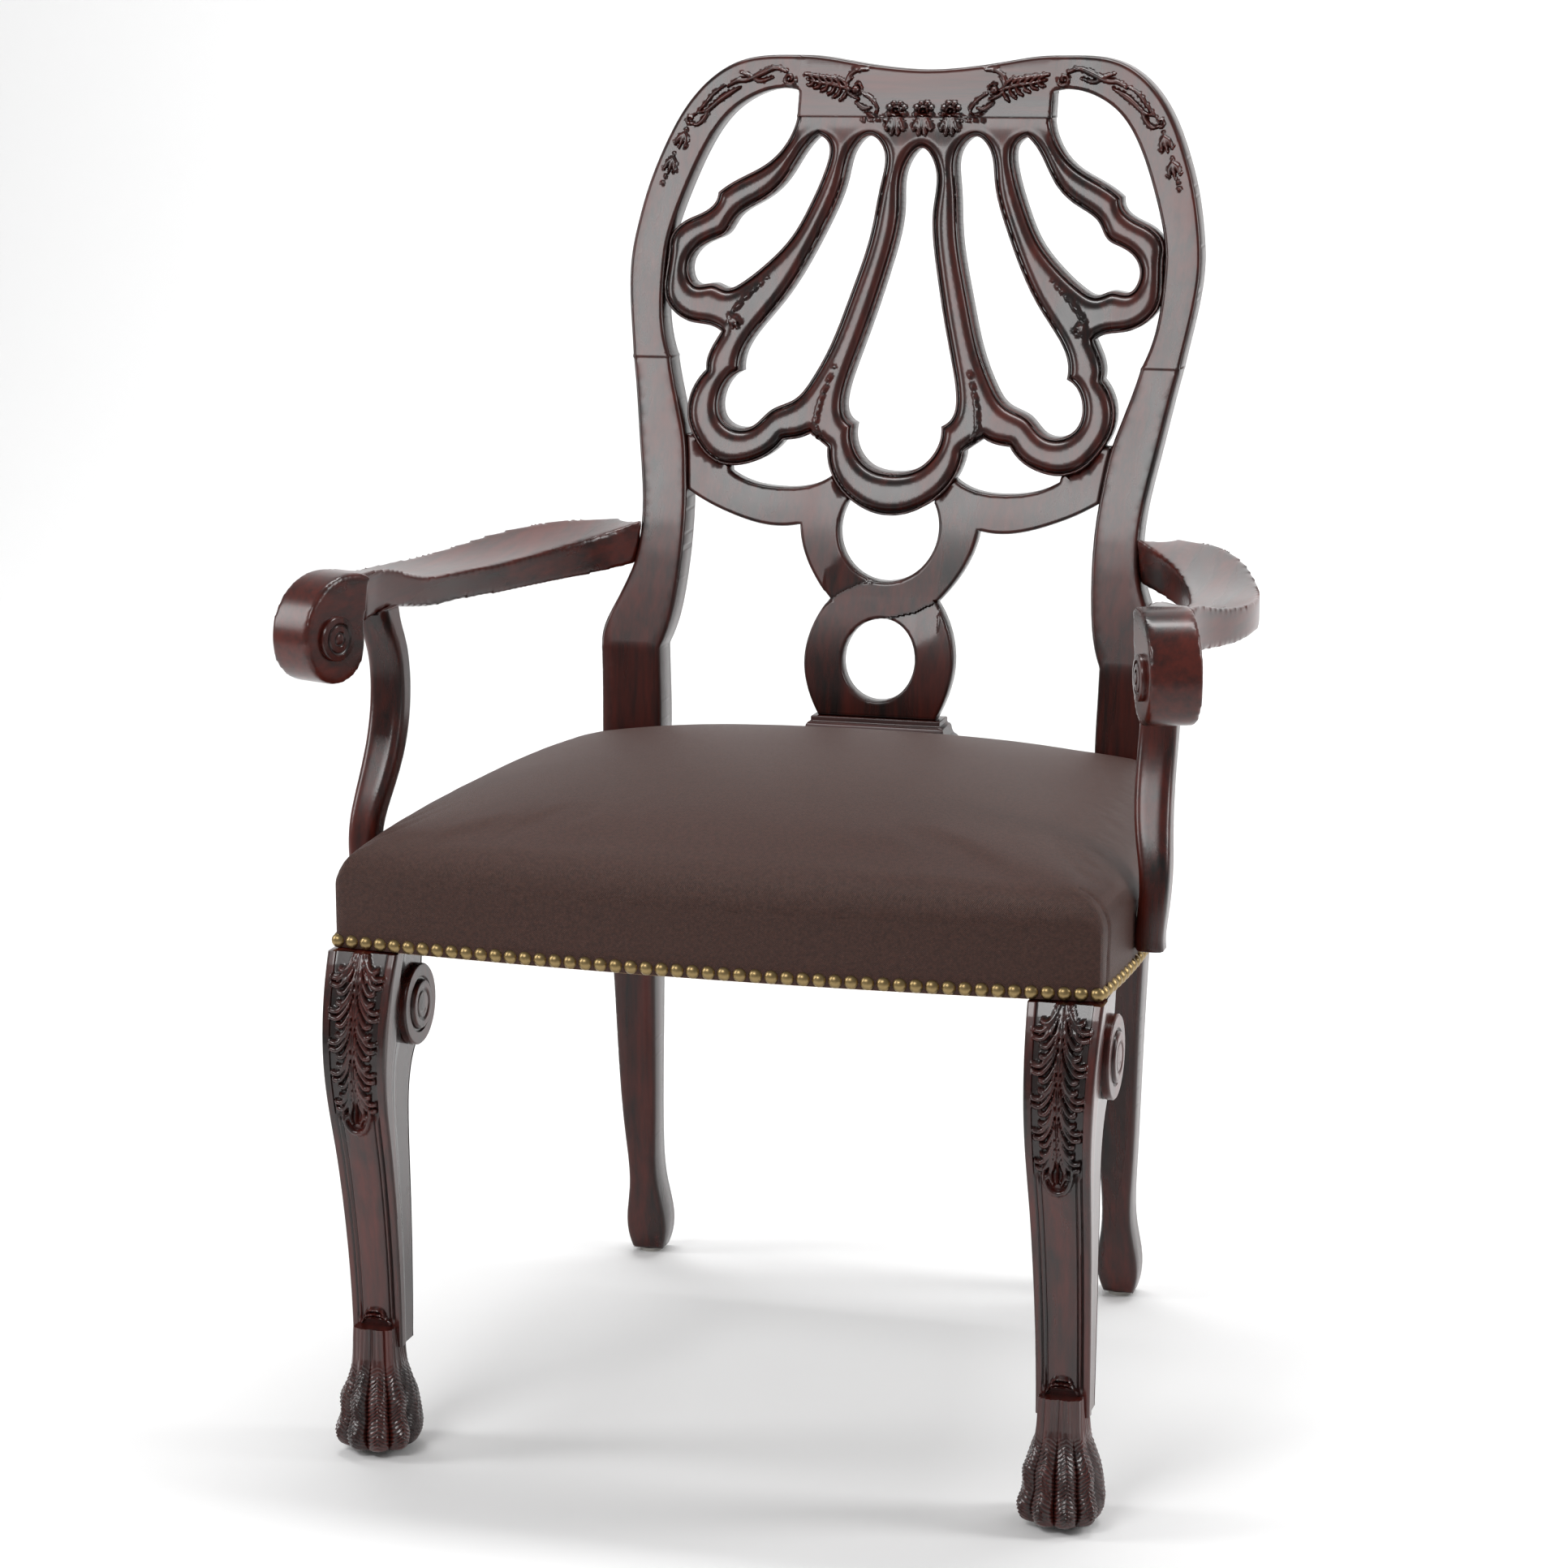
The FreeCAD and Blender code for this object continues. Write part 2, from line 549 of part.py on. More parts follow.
def make_front_leg():
    """The right front leg: elevation and profile sawn from one square, then the block and the paw."""
    centre = size("leg_centre")
    bottom = size("rail_bottom")
    half = size("leg_top_half")
    ankle = size("leg_ankle_half") / 20
    widths = [(up_leg(z), half * share * (1 + (ankle - 1) * (396 - z) / 310)) for z, share in LEG_HALF]
    inner = smooth([Vector(centre - wide, 0, z) for z, wide in widths])
    outer = smooth([Vector(centre + wide, 0, z) for z, wide in widths])
    top = Part.makeLine(inner.firstVertex().Point, outer.firstVertex().Point)
    foot = Part.makeLine(inner.lastVertex().Point, outer.lastVertex().Point)
    face = Part.Face(Part.Wire(Part.__sortEdges__([inner, outer, top, foot])))
    face.translate(Vector(0, -100, 0))
    sawn_width = face.extrude(Vector(0, 300, 0))
    front = smooth([Vector(0, y, up_leg(z)) for z, y in LEG_FRONT])
    rear = smooth([Vector(0, y, up_leg(z)) for z, y in LEG_REAR])
    back_top = rear.lastVertex().Point
    corner = Vector(0, size("post_rear"), bottom)
    lines = [
        Part.makeLine(front.lastVertex().Point, rear.firstVertex().Point),
        Part.makeLine(back_top, corner),
        Part.makeLine(corner, front.firstVertex().Point),
    ]
    profile = Part.Face(Part.Wire(Part.__sortEdges__([front, rear] + lines)))
    sawn_depth = profile.extrude(Vector(centre + 2 * half, 0, 0))
    start = Vector(centre - half * KNEE_SHARE, size("volute_depth"), size("volute_height"))
    knee = Part.makeCylinder(size("volute_radius") - 1, 2 * half * KNEE_SHARE, start, Vector(1, 0, 0))
    leg = sawn_width.common(sawn_depth.fuse(knee))
    block = Part.makeBox(
        4 * half, size("post_rear") - size("core_front") + 40, size("rail_height"),
        Vector(size("post_inner"), size("core_front") - 40, bottom)
    ).common(make_core(size("rail_height")))
    rings = [
        rounded_ring(size("paw_half") * share, near, far, min(z, size("ankle_height")), centre, 13)
        for z, share, near, far in PAW_RINGS
    ]
    paw = Part.makeLoft(rings, True)
    return leg.fuse(block).fuse(paw).removeSplitter()


def make_volutes(leg):
    """Two discs glued to the knee's sides, each bedded on the leg and with a smaller disc on its face."""
    radius = size("volute_radius")
    bed = 3
    eye_stands = 2
    half = size("leg_top_half") * KNEE_SHARE - bed
    deep = size("volute_thickness") + bed
    discs = []
    for way in (-1, 1):
        start = Vector(size("leg_centre") + way * half, size("volute_depth"), size("volute_height"))
        disc = Part.makeCylinder(radius, deep, start, Vector(way, 0, 0))
        eye = Part.makeCylinder(radius * 0.6, deep + eye_stands, start, Vector(way, 0, 0))
        discs.append(disc.fuse(eye).cut(leg))
    return discs


# ---- The arms: a flat sweep that dishes and twists, ending in a scroll over the support. ----

# Each station: distance back from the scroll's middle, place across from the seat corner, width,
# drop of the inner and outer top edges below the arm's height, and thickness.
ARM_STATIONS = [
    (28, 0, 37, 3, 3, 38),
    (55, 1, 38, 4, 4.5, 34),
    (98, 5, 42, 10, 12, 30),
    (152, 10, 50, 22, 18.5, 26),
    (225, 8, 54, 29, 22.5, 24),
    (298, -6, 53, 31, 21, 25),
    (365, -26, 49, 29, 15, 28),
    (425, -55, 44, 23, 13, 32),
    (462, -87, 42, 12, 15, 36),
]


# The arm as it is drawn: how far the post's face stands behind the scroll, the places across of the
# seat corner and of the post, where the arm begins to turn in to the post, and over what length.
DRAWN_ARM_RUN = 452
DRAWN_CORNER = 317.5
DRAWN_POST = 217
ARM_BEND = 152
ARM_CLOSING = 310
ARM_DISH = 2
ARM_BELOW_TOP = 25


def arm_middle(drawn):
    """The middle of the arm in plan, from its distance behind the scroll and its place across."""
    back, across = drawn
    post_face = rake_at(drawn_at(size("arm_height") - ARM_BELOW_TOP))
    run = (post_face - size("scroll_setback")) / DRAWN_ARM_RUN
    corner = size("seat_width") / 2 + size("arm_overhang")
    shift = across_back(DRAWN_POST) - DRAWN_POST - (corner - DRAWN_CORNER)
    lean = shift * max(0, (back - ARM_BEND) / ARM_CLOSING)
    return Vector(corner + across + lean, size("scroll_setback") + back * run, 0)


def make_arm(post):
    """The right arm, lofted through its stations, with a scroll on the front and cut to the post."""
    sections = []
    middles = [arm_middle(station[:2]) for station in ARM_STATIONS]
    for index, station in enumerate(ARM_STATIONS):
        width, inner_drop, outer_drop, thick = station[2:]
        along = middles[min(index + 1, len(middles) - 1)] - middles[max(index - 1, 0)]
        across = Vector(along.y, -along.x, 0) / along.Length
        inner = middles[index] - across * width / 2 + Vector(0, 0, size("arm_height") - inner_drop)
        outer = middles[index] + across * width / 2 + Vector(0, 0, size("arm_height") - outer_drop)
        dish = (inner + outer) / 2 - Vector(0, 0, ARM_DISH)
        below = Vector(0, 0, -thick)
        top = smooth([inner, dish, outer])
        under = [outer, outer + below, inner + below, inner]
        sides = [Part.makeLine(first, second) for first, second in zip(under, under[1:])]
        sections.append(Part.Wire([top] + sides))
    arm = Part.makeLoft(sections, True)
    return arm.fuse(make_scroll()).cut(post).removeSplitter()


# The scroll's side, drawn about the middle of its eye at this radius, from the arm's top round to its
# underside, and how far its axis turns outward.
DRAWN_SCROLL = 35
SCROLL_SIDE = [(34, 43), (14, 47.2), (-2, 44.5), (-20, 34), (-32, 16), (-35, -2), (-29, -21), (-14, -33),
               (3, -35), (19, -27), (27, -10), (27, 6)]
SCROLL_TURN = 22
SCROLL_ACROSS = 5


def make_scroll():
    """The scrolled front end of the right arm, its axis turned a little outward."""
    middle = arm_middle((0, SCROLL_ACROSS))
    scale = size("scroll_radius") / DRAWN_SCROLL
    height = size("arm_height") - size("scroll_radius") - size("scroll_drop")
    width = size("scroll_width")
    curl = smooth([Vector(0, y * scale, z * scale) for y, z in SCROLL_SIDE])
    close = Part.makeLine(curl.lastVertex().Point, curl.firstVertex().Point)
    face = Part.Face(Part.Wire([curl, close]))
    face.translate(Vector(-width / 2, 0, 0))
    scroll = face.extrude(Vector(width, 0, 0))
    scroll.rotate(Vector(0, 0, 0), Vector(0, 0, 1), SCROLL_TURN)
    scroll.translate(Vector(middle.x, middle.y, height))
    return scroll


# Each ring of a support: share of its height, set back of its middle, share of its width and depth,
# and how far its middle leans out.
SUPPORT_RINGS = [(0, 0, 0.75, 0.9, 4.8), (0.1, 1, 0.77, 0.98, 5), (0.25, 6, 0.82, 1.05, 6.2),
                 (0.36, 15, 0.92, 1.05, 3), (0.52, 32, 1.0, 1.0, -0.5), (0.73, 45, 1.0, 0.95, 0),
                 (0.87, 42, 1.0, 1.0, 2), (1.0, 32, 1.15, 1.3, 7)]


SUPPORT_CORNER = 7


def make_support(arm):
    """The right arm support: it stands on the outside of the side rail and runs up into the arm."""
    foot = size("support_foot")
    rise = size("arm_height") - size("support_rise") - foot
    seat = size("support_seat")
    rings = []
    for share, back, wide, deep, lean in SUPPORT_RINGS:
        half = size("support_width") * wide / 2
        depth = size("support_depth") * deep / 2
        centre = size("seat_width") / 2 + size("support_stands_out") + lean
        near = seat + back - depth
        far = seat + back + depth
        rings.append(rounded_ring(half, near, far, foot + rise * share, centre, SUPPORT_CORNER))
    support = Part.makeLoft(rings, True)
    return support.cut(arm)


# ---- The seat frame: four rails between the legs and posts, with glued blocks in the corners. ----

ARC_X = "(dims.side_centre_x + sqrt(({radius}) ^ 2 - ({along} - dims.side_centre_y) ^ 2))"
SIDE_OUTER = "dims.side_radius"
SIDE_INNER = "dims.side_radius - dims.rail_thickness"


def on_side(radius, along):
    """How far out one face of the side rail stands, at a distance back."""
    return ARC_X.format(radius=radius, along=along)


def negative(corners):
    """The same corners on the other side, in the same turning order."""
    return [("-(%s)" % x if x != "0" else x, y) for x, y in reversed(corners)]


def make_rails():
    """Blanks for the four seat rails."""
    front_y = "(dims.front_centre - sqrt(dims.front_radius ^ 2 - dims.post_inner ^ 2))"
    inside = "(dims.core_front + dims.rail_thickness)"
    front = padded_body(
        "rail_front",
        [("-dims.post_inner", front_y), ("dims.post_inner", front_y), ("dims.post_inner", inside),
         ("-dims.post_inner", inside)],
        "dims.rail_height",
        {0: ("dims.front_radius", "left")},
    )
    end = "dims.rear_inner"
    far = "dims.rear_rail_front + dims.rail_thickness"
    rear = padded_body(
        "rail_rear",
        [("-" + end, "dims.rear_rail_front"), (end, "dims.rear_rail_front"), (end, far), ("-" + end, far)],
        "dims.rail_height",
    )
    near = "dims.post_rear"
    back = "dims.seat_depth"
    corners = [
        (on_side(SIDE_OUTER, near), near), (on_side(SIDE_OUTER, back), back),
        (on_side(SIDE_INNER, back), back), (on_side(SIDE_INNER, near), near),
    ]
    right = padded_body(
        "rail_right", corners, "dims.rail_height", {0: (SIDE_OUTER, "left"), 2: (SIDE_INNER, "right")}
    )
    left = padded_body(
        "rail_left", negative(corners), "dims.rail_height",
        {0: (SIDE_INNER, "right"), 2: (SIDE_OUTER, "left")},
    )
    return front, rear, right, left


def make_blocks():
    """Corner blocks: the front pair wrap the leg's square block, the rear pair fit beside the posts."""
    inside = "(dims.core_front + dims.rail_thickness)"
    reach = "(dims.post_rear + dims.block_leg)"
    front = [
        ("(dims.post_inner - dims.block_leg)", inside), ("dims.post_inner", inside),
        ("dims.post_inner", "dims.post_rear"), (on_side(SIDE_INNER, "dims.post_rear"), "dims.post_rear"),
        (on_side(SIDE_INNER, reach), reach),
    ]
    start = "(dims.seat_depth - dims.block_leg)"
    wall = "dims.rear_rail_front"
    rear = [
        (on_side(SIDE_INNER, start), start),
        (on_side(SIDE_INNER, "(dims.seat_depth - 6)"), "(dims.seat_depth - 6)"),
        ("(dims.rear_inner - dims.fit)", "(dims.seat_depth - 6)"), ("(dims.rear_inner - dims.fit)", wall),
        ("(dims.rear_inner - dims.block_leg)", wall),
    ]
    blocks = []
    for label, corners in (("front", front), ("rear", rear)):
        for side, chosen in (("right", corners), ("left", negative(corners))):
            body = padded_body("corner_block_%s_%s" % (label, side), chosen, "dims.block_height")
            blocks.append(body)
    return blocks


def make_dowels():
    """Glued dowels, two in each end of each rail, as cylinders bound to the sheet."""
    sizes = {"Radius": "dims.dowel_diameter / 2", "Height": "dims.dowel_length"}
    lows = ("dims.rail_bottom + dims.rail_height * 0.28", "dims.rail_bottom + dims.rail_height * 0.72")
    across = (Vector(0, 1, 0), 90)
    along = (Vector(1, 0, 0), -90)
    middle = on_side("dims.side_radius - dims.rail_thickness / 2", "dims.post_rear")
    rear_middle = on_side("dims.side_radius - dims.rail_thickness / 2", "dims.seat_depth")
    dowels = []
    for way, sign in (("right", ""), ("left", "-")):
        for level, low in enumerate(lows):
            spots = {
                "front": (across, sign + "dims.post_inner - dims.dowel_length / 2",
                          "dims.core_front + dims.rail_thickness / 2 - 2"),
                "rear": (across, sign + "dims.rear_inner - dims.dowel_length / 2",
                         "dims.rear_rail_front + dims.rail_thickness / 2"),
                "side_front": (along, sign + middle, "dims.post_rear - dims.dowel_length / 2"),
                "side_rear": (along, sign + rear_middle, "dims.seat_depth + 6 - dims.dowel_length / 2"),
            }
            for place, (turn, x, y) in spots.items():
                label = "dowel_%s_%s_%d" % (place, way, level)
                dowels.append(primitive("Part::Cylinder", label, sizes, (x, y, low), turn))
    return dowels


def screw_shape(length, start, direction):
    """A countersunk wood screw, from its head at start along a direction."""
    radius = size("screw_diameter") / 2
    head = Part.makeCone(radius * 2, radius, radius, start, direction)
    shank = Part.makeCylinder(radius, length, start, direction)
    return head.fuse(shank).removeSplitter()


def both_sides(shapes):
    return shapes + [mirrored(shape) for shape in shapes]


def make_support_screws():
    """Two screws through each side rail from inside, into the foot of the arm support."""
    along = size("support_seat")
    reach = size("side_radius") - size("rail_thickness")
    inside = size("side_centre_x") + math.sqrt(reach ** 2 - (along - size("side_centre_y")) ** 2)
    screws = []
    for share in (0.52, 0.82):
        start = Vector(inside, along, size("rail_bottom") + size("rail_height") * share)
        screws.append(screw_shape(size("screw_length") - 8, start, Vector(1, 0, 0)))
    return both_sides(screws)


def make_block_screws():
    """Two screws through each corner block, one into each of the rails that meet there."""
    level = size("rail_bottom") + size("rail_height") / 2
    leg = size("block_leg")
    bite = size("screw_length") * 0.35
    inside = size("core_front") + size("rail_thickness")
    reach = size("post_rear") + leg
    front_run = (Vector(size("post_inner") - leg, inside, level),
                 Vector(value(on_side(SIDE_INNER, str(reach))), reach, level), inside, Vector(0, -1, 0))
    wall = size("rear_rail_front")
    start = size("seat_depth") - leg
    rear_run = (Vector(size("rear_inner") - leg, wall, level),
                Vector(value(on_side(SIDE_INNER, str(start))), start, level), wall, Vector(0, 1, 0))
    screws = []
    for low, high, face, way in (front_run, rear_run):
        near = low + (high - low) * 0.3
        screws.append(screw_shape(abs(near.y - face) + bite, near, way))
        far = low + (high - low) * 0.68
        rail = value(on_side(SIDE_INNER, str(far.y)))
        screws.append(screw_shape(rail - far.x + bite, far, Vector(1, 0, 0)))
    return both_sides(screws)


# Where the arms' dowels sit: below the arm's height and behind the post's face, from a drawn place
# across; and out from the support's middle, back from its head and down into it.
ARM_DOWEL_LEVEL = 33
ARM_DOWEL_SETBACK = 10.6
ARM_DOWEL_START = 195
SUPPORT_DOWEL_OUT = 5.5
SUPPORT_DOWEL_BACK = 2
SUPPORT_DOWEL_SINKS = 26


def make_arm_dowels():
    """A dowel from each post into its arm, and one from each arm down into its support."""
    radius = size("arm_dowel_diameter") / 2
    long = size("arm_dowel_length")
    level = size("arm_height") - ARM_DOWEL_LEVEL
    face = rake_at(drawn_at(level))
    start = Vector(across_back(ARM_DOWEL_START), face + ARM_DOWEL_SETBACK, level)
    into_post = Part.makeCylinder(radius, long, start, Vector(1, 0, 0))
    stand = size("seat_width") / 2 + size("support_stands_out") + SUPPORT_DOWEL_OUT
    low = size("arm_height") - size("support_rise") - SUPPORT_DOWEL_SINKS
    seat = Vector(stand, size("support_seat") + SUPPORT_RINGS[-1][1] + SUPPORT_DOWEL_BACK, low)
    into_support = Part.makeCylinder(radius, long, seat, Vector(0, 0, 1))
    return both_sides([into_post, into_support])


# ---- The upholstery: webbing, burlap, a domed pad and a close cover with a nailed edge. ----

# Farther than any piece of the seat reaches, for solids that only cut.
BEYOND = 2000
CUT_CLEAR = 0.5


# The crown, as shares of the seat: where its middle is, how far it reaches each way, and how flat it is
# across and from front to back. The surface is drawn past the cover's edge on every side.
CROWN_MIDDLE = 0.53
CROWN_REACH_BACK = 0.56
CROWN_REACH_ACROSS = 1.02
CROWN_FLATNESS = (2.6, 2.4)
CROWN_OVERLAP = 1.25
CROWN_ROWS = 12


def make_dome(drop):
    """The space under the pad's crowned top, a given drop below the top of the cover."""
    edge = size("rail_top") + size("pad_edge") - drop
    half = size("seat_width") / 2 * CROWN_REACH_ACROSS
    middle = size("seat_depth") * CROWN_MIDDLE
    span = size("seat_depth") * CROWN_REACH_BACK
    shares = [CROWN_OVERLAP * (2 * step / CROWN_ROWS - 1) for step in range(CROWN_ROWS + 1)]
    rows = []
    for v in shares:
        line = []
        for u in shares:
            rise = (1 - abs(u) ** CROWN_FLATNESS[0]) * (1 - abs(v) ** CROWN_FLATNESS[1])
            if abs(u) > 1 or abs(v) > 1:
                rise = -abs(rise)
            line.append(Vector(u * half, middle + v * span, edge + size("pad_crown") * rise))
        rows.append(line)
    surface = Part.BSplineSurface()
    surface.interpolate(rows)
    return surface.toShape().extrude(Vector(0, 0, -BEYOND))


def make_cover_and_pad(shoe, posts):
    """The pad over the rails, and the cover drawn over it and down the outside of the rails."""
    cloth = size("cloth")
    bottom = size("rail_bottom")
    tall = size("rail_height") + size("pad_edge") + 2 * size("pad_crown")
    between = size("rear_inner") - CUT_CLEAR
    posts_face = size("seat_depth") - CUT_CLEAR
    around = Part.makeBox(2 * between, BEYOND, BEYOND, Vector(-between, posts_face - CUT_CLEAR, bottom))
    front = Part.makeBox(2 * BEYOND, BEYOND, BEYOND, Vector(-BEYOND, posts_face - BEYOND, bottom))
    reach = around.fuse(front)
    skin = make_core(tall, cloth).common(make_dome(0)).common(reach)
    core = make_core(tall).common(make_dome(cloth)).common(reach)
    deck = bottom + size("rail_height") + size("deck")
    wide = size("shoe_width") + 2 * CUT_CLEAR
    corner = Vector(-wide / 2, shoe.BoundBox.YMin - CUT_CLEAR, deck)
    gap = Part.makeBox(wide, BEYOND, BEYOND, corner)
    cover = skin.cut(core).cut(gap)
    floor = Part.makeBox(2 * BEYOND, 2 * BEYOND, BEYOND, Vector(-BEYOND, -BEYOND, deck - BEYOND))
    pad = core.cut(floor).cut(gap)
    for post in posts:
        cover = cover.cut(post)
        pad = pad.cut(post)
    return cover, pad


# How far the straps stop short of the rails' outer faces, how many run each way, how far apart the long
# ones are as a share of their width, and where the first cross strap lies as a share of their spacing.
STRAP_SHORT = 8
STRAP_COUNT = 5
STRAP_SPACING = 1.45
STRAP_FIRST = 0.4


def make_webbing():
    """Jute straps tacked over the rails: one layer from front to back, then one from side to side."""
    width = size("webbing_width")
    thick = size("webbing_thickness")
    top = size("rail_top")
    front = size("core_front") + STRAP_SHORT
    rear = size("rear_rail_front") + size("rail_thickness") - STRAP_SHORT
    straps = []
    for step in range(STRAP_COUNT):
        x = (step - (STRAP_COUNT - 1) / 2) * width * STRAP_SPACING
        straps.append(Part.makeBox(width, rear - front, thick, Vector(x - width / 2, front, top)))
    pitch = (size("seat_depth") - size("post_rear") - width) / STRAP_COUNT
    for step in range(STRAP_COUNT):
        y = size("post_rear") + width / 2 + (step + STRAP_FIRST) * pitch
        far = y + width / 2 if y > size("side_centre_y") else y - width / 2
        reach = size("side_radius") ** 2 - (far - size("side_centre_y")) ** 2
        half = size("side_centre_x") + math.sqrt(reach) - STRAP_SHORT
        straps.append(Part.makeBox(2 * half, width, thick, Vector(-half, y - width / 2, top + thick)))
    return straps


def make_sheet(label, inset_front, inset_side, thickness, lift, leg_room):
    """A flat sheet over or under the rails; leg_room says whether it stops short of the front legs."""
    side = "dims.side_radius - %s" % inset_side
    near = "(dims.core_front + %s)" % inset_front
    far = "(dims.seat_depth - 6)"
    end = "(dims.rear_rail_front + dims.rail_thickness * 0.7)"
    inner = "(dims.rear_inner - 1)"
    if leg_room:
        start = "(dims.post_rear + 2)"
        right = [("(dims.post_inner - 2)", near), ("(dims.post_inner - 2)", start)]
    else:
        start = near
        right = []
    first = len(right)
    right += [(on_side(side, start), start), (on_side(side, far), far), (inner, far), (inner, end)]
    corners = right + negative(right)
    last = 2 * len(right) - 2 - first
    arcs = {first: (side, "left"), last: (side, "left")}
    body = padded_body(label, corners, thickness, arcs)
    body.Label = label
    named(body, label, lift)
    return body


# A head is part of a ball: the ball's radius and how far its middle is sunk, in shares of the head's.
HEAD_CURVE = 1.08
HEAD_SINKS = 0.4
# Where the rows of nails stop: at the front corners, and at each end of a side.
FRONT_ROW_END = 1
SIDE_ROW_START = 7
SIDE_ROW_END = 8


def nail_shape(spot, outward):
    """The domed head of a nail, standing on the cover at a spot and facing outward."""
    radius = size("nail_diameter") / 2
    ball = Part.makeSphere(radius * HEAD_CURVE, spot - outward * radius * HEAD_SINKS)
    above = Part.makeCylinder(radius * 2, radius * 2, spot, outward)
    return ball.common(above)


def spaced(start, length):
    """Distances along a row of nails, evenly spaced at about the pitch."""
    count = max(2, round(length / size("nail_pitch")) + 1)
    return [start + length * step / (count - 1) for step in range(count)]


def make_nails():
    """Brass nails along the foot of the cover: across the front and back along both sides."""
    level = size("rail_bottom") + size("nail_lift")
    cloth = size("cloth")
    radius = size("cover_front_radius")
    half = math.asin((size("core_half") - FRONT_ROW_END) / radius)
    front = []
    for turn in spaced(-half * radius, 2 * half * radius):
        outward = Vector(math.sin(turn / radius), -math.cos(turn / radius), 0)
        spot = Vector(0, size("cover_front_centre"), level) + outward * radius
        front.append(nail_shape(spot, outward))
    sweep = size("side_radius") + cloth
    first = math.asin((size("core_front") + SIDE_ROW_START - size("side_centre_y")) / sweep)
    last = math.asin((size("seat_depth") - SIDE_ROW_END - size("side_centre_y")) / sweep)
    right = []
    for turn in spaced(first * sweep, (last - first) * sweep):
        outward = Vector(math.cos(turn / sweep), math.sin(turn / sweep), 0)
        spot = Vector(size("side_centre_x"), size("side_centre_y"), level) + outward * sweep
        right.append(nail_shape(spot, outward))
    return front, right


def make_shoe():
    """The moulded block on the rear rail that holds the foot of the splat."""
    front = rake_at(490) - 9
    rear = front + size("shoe_depth")
    half = size("shoe_width") / 2
    low = size("rail_top") + size("deck")
    top = size("shoe_top")
    block = Part.makeBox(2 * half, rear - front, top - 6 - low, Vector(-half, front, low))
    cap = Part.makeBox(2 * half - 12, rear - front - 6, 6, Vector(-half + 6, front + 6, top - 6))
    return block.fuse(cap).removeSplitter()


def compound(label, shapes):
    return shaped(label, Part.makeCompound(shapes))


# ---- The finished pieces. ----


def make_glides():
    """A glide under each foot, bound to the sheet."""
    rear_x = str(across_back(213) / size("back_width")) + " * dims.back_width"
    spots = {
        "front_right": ("dims.leg_centre", "dims.paw_middle"),
        "front_left": ("-dims.leg_centre", "dims.paw_middle"),
        "rear_right": (rear_x, "dims.rear_foot_middle"),
        "rear_left": ("-" + rear_x, "dims.rear_foot_middle"),
    }
    sizes = {"Radius": "dims.glide_diameter / 2", "Height": "dims.glide_height"}
    for place, (x, y) in spots.items():
        label = "glide_" + place
        glide = primitive("Part::Cylinder", label, sizes, (x, y + " - dims.depth_middle", "0"))
        glide.Label = label
        PIECES.append(glide)


def build():
    post, hoop, crest, shell, straps = make_back()
    posts = [post, mirrored(post)]
    arm = make_arm(post)
    support = make_support(arm)
    leg = make_front_leg()
    arm_dowels = make_arm_dowels()
    support_screws = make_support_screws()
    block_screws = make_block_screws()
    shoe = make_shoe().cut(straps)
    cover, pad = make_cover_and_pad(shoe, posts)
    support = support.cut(cover)
    for screw in support_screws:
        cover = cover.cut(screw)

    dowels = make_dowels()
    rail_dowels = group("rail_dowels", dowels)
    front, rear, right, left = make_rails()
    blocks = make_blocks()
    doc.recompute()

    bored = rail_dowels.Shape.copy()
    screwed = Part.makeCompound(support_screws + block_screws)
    screw_holes = doc.addObject("Part::Feature", "screw_holes")
    screw_holes.Shape = screwed
    post_tools = doc.addObject("Part::Feature", "post_tools")
    post_tools.Shape = Part.makeCompound(posts)
    bores = group("rail_bores", dowels + [screw_holes, post_tools])
    for body, label in ((front, "rail_front"), (rear, "rail_rear"), (right, "rail_right"),
                        (left, "rail_left")):
        lift = doc.addObject("Part::Compound", label + "_placed")
        lift.Links = [body]
        lift.setExpression("Placement.Base.z", "dims.rail_bottom")
        named(cut(label, lift, bores), label)
    for body in blocks:
        label = body.Name.replace("_blank", "")
        lift = doc.addObject("Part::Compound", label + "_placed")
        lift.Links = [body]
        lift.setExpression(
            "Placement.Base.z", "dims.rail_bottom + (dims.rail_height - dims.block_height) / 2"
        )
        named(cut(label, lift, screw_holes), label)
    named(rail_dowels, "rail_dowels")

    for way, turned in (("right", lambda shape: shape), ("left", mirrored)):
        shaped("stile_" + way, turned(post.cut(Part.makeCompound(arm_dowels))).cut(bored))
        shaped("hoop_shoulder_" + way, turned(hoop))
        shaped("front_leg_" + way, turned(leg).cut(bored))
        compound("knee_volutes_" + way, [turned(disc) for disc in make_volutes(leg)])
        drilled = arm.cut(Part.makeCompound(arm_dowels))
        shaped("arm_" + way, turned(drilled))
        drilled = support.cut(Part.makeCompound(arm_dowels + support_screws))
        shaped("arm_support_" + way, turned(drilled))
    shaped("crest_rail", crest)
    shaped("splat_shell", shell)
    shaped("splat_strapwork", straps)
    shaped("splat_shoe", shoe)
    compound("arm_dowels", arm_dowels)
    compound("arm_support_screws", support_screws)
    compound("corner_block_screws", block_screws)
    compound("webbing", make_webbing())
    make_sheet("burlap", "8", "8", "dims.burlap_thickness", "dims.rail_top + 2 * dims.webbing_thickness",
               False)
    make_sheet("dust_cover", "6", "8", "dims.dust_cover_thickness",
               "dims.rail_bottom - dims.dust_cover_thickness", True)
    shaped("seat_pad", pad)
    shaped("seat_cover", cover)
    front_nails, side_nails = make_nails()
    compound("nails_front", front_nails)
    compound("nails_right", side_nails)
    compound("nails_left", [mirrored(nail) for nail in side_nails])
    make_glides()
    doc.recompute()


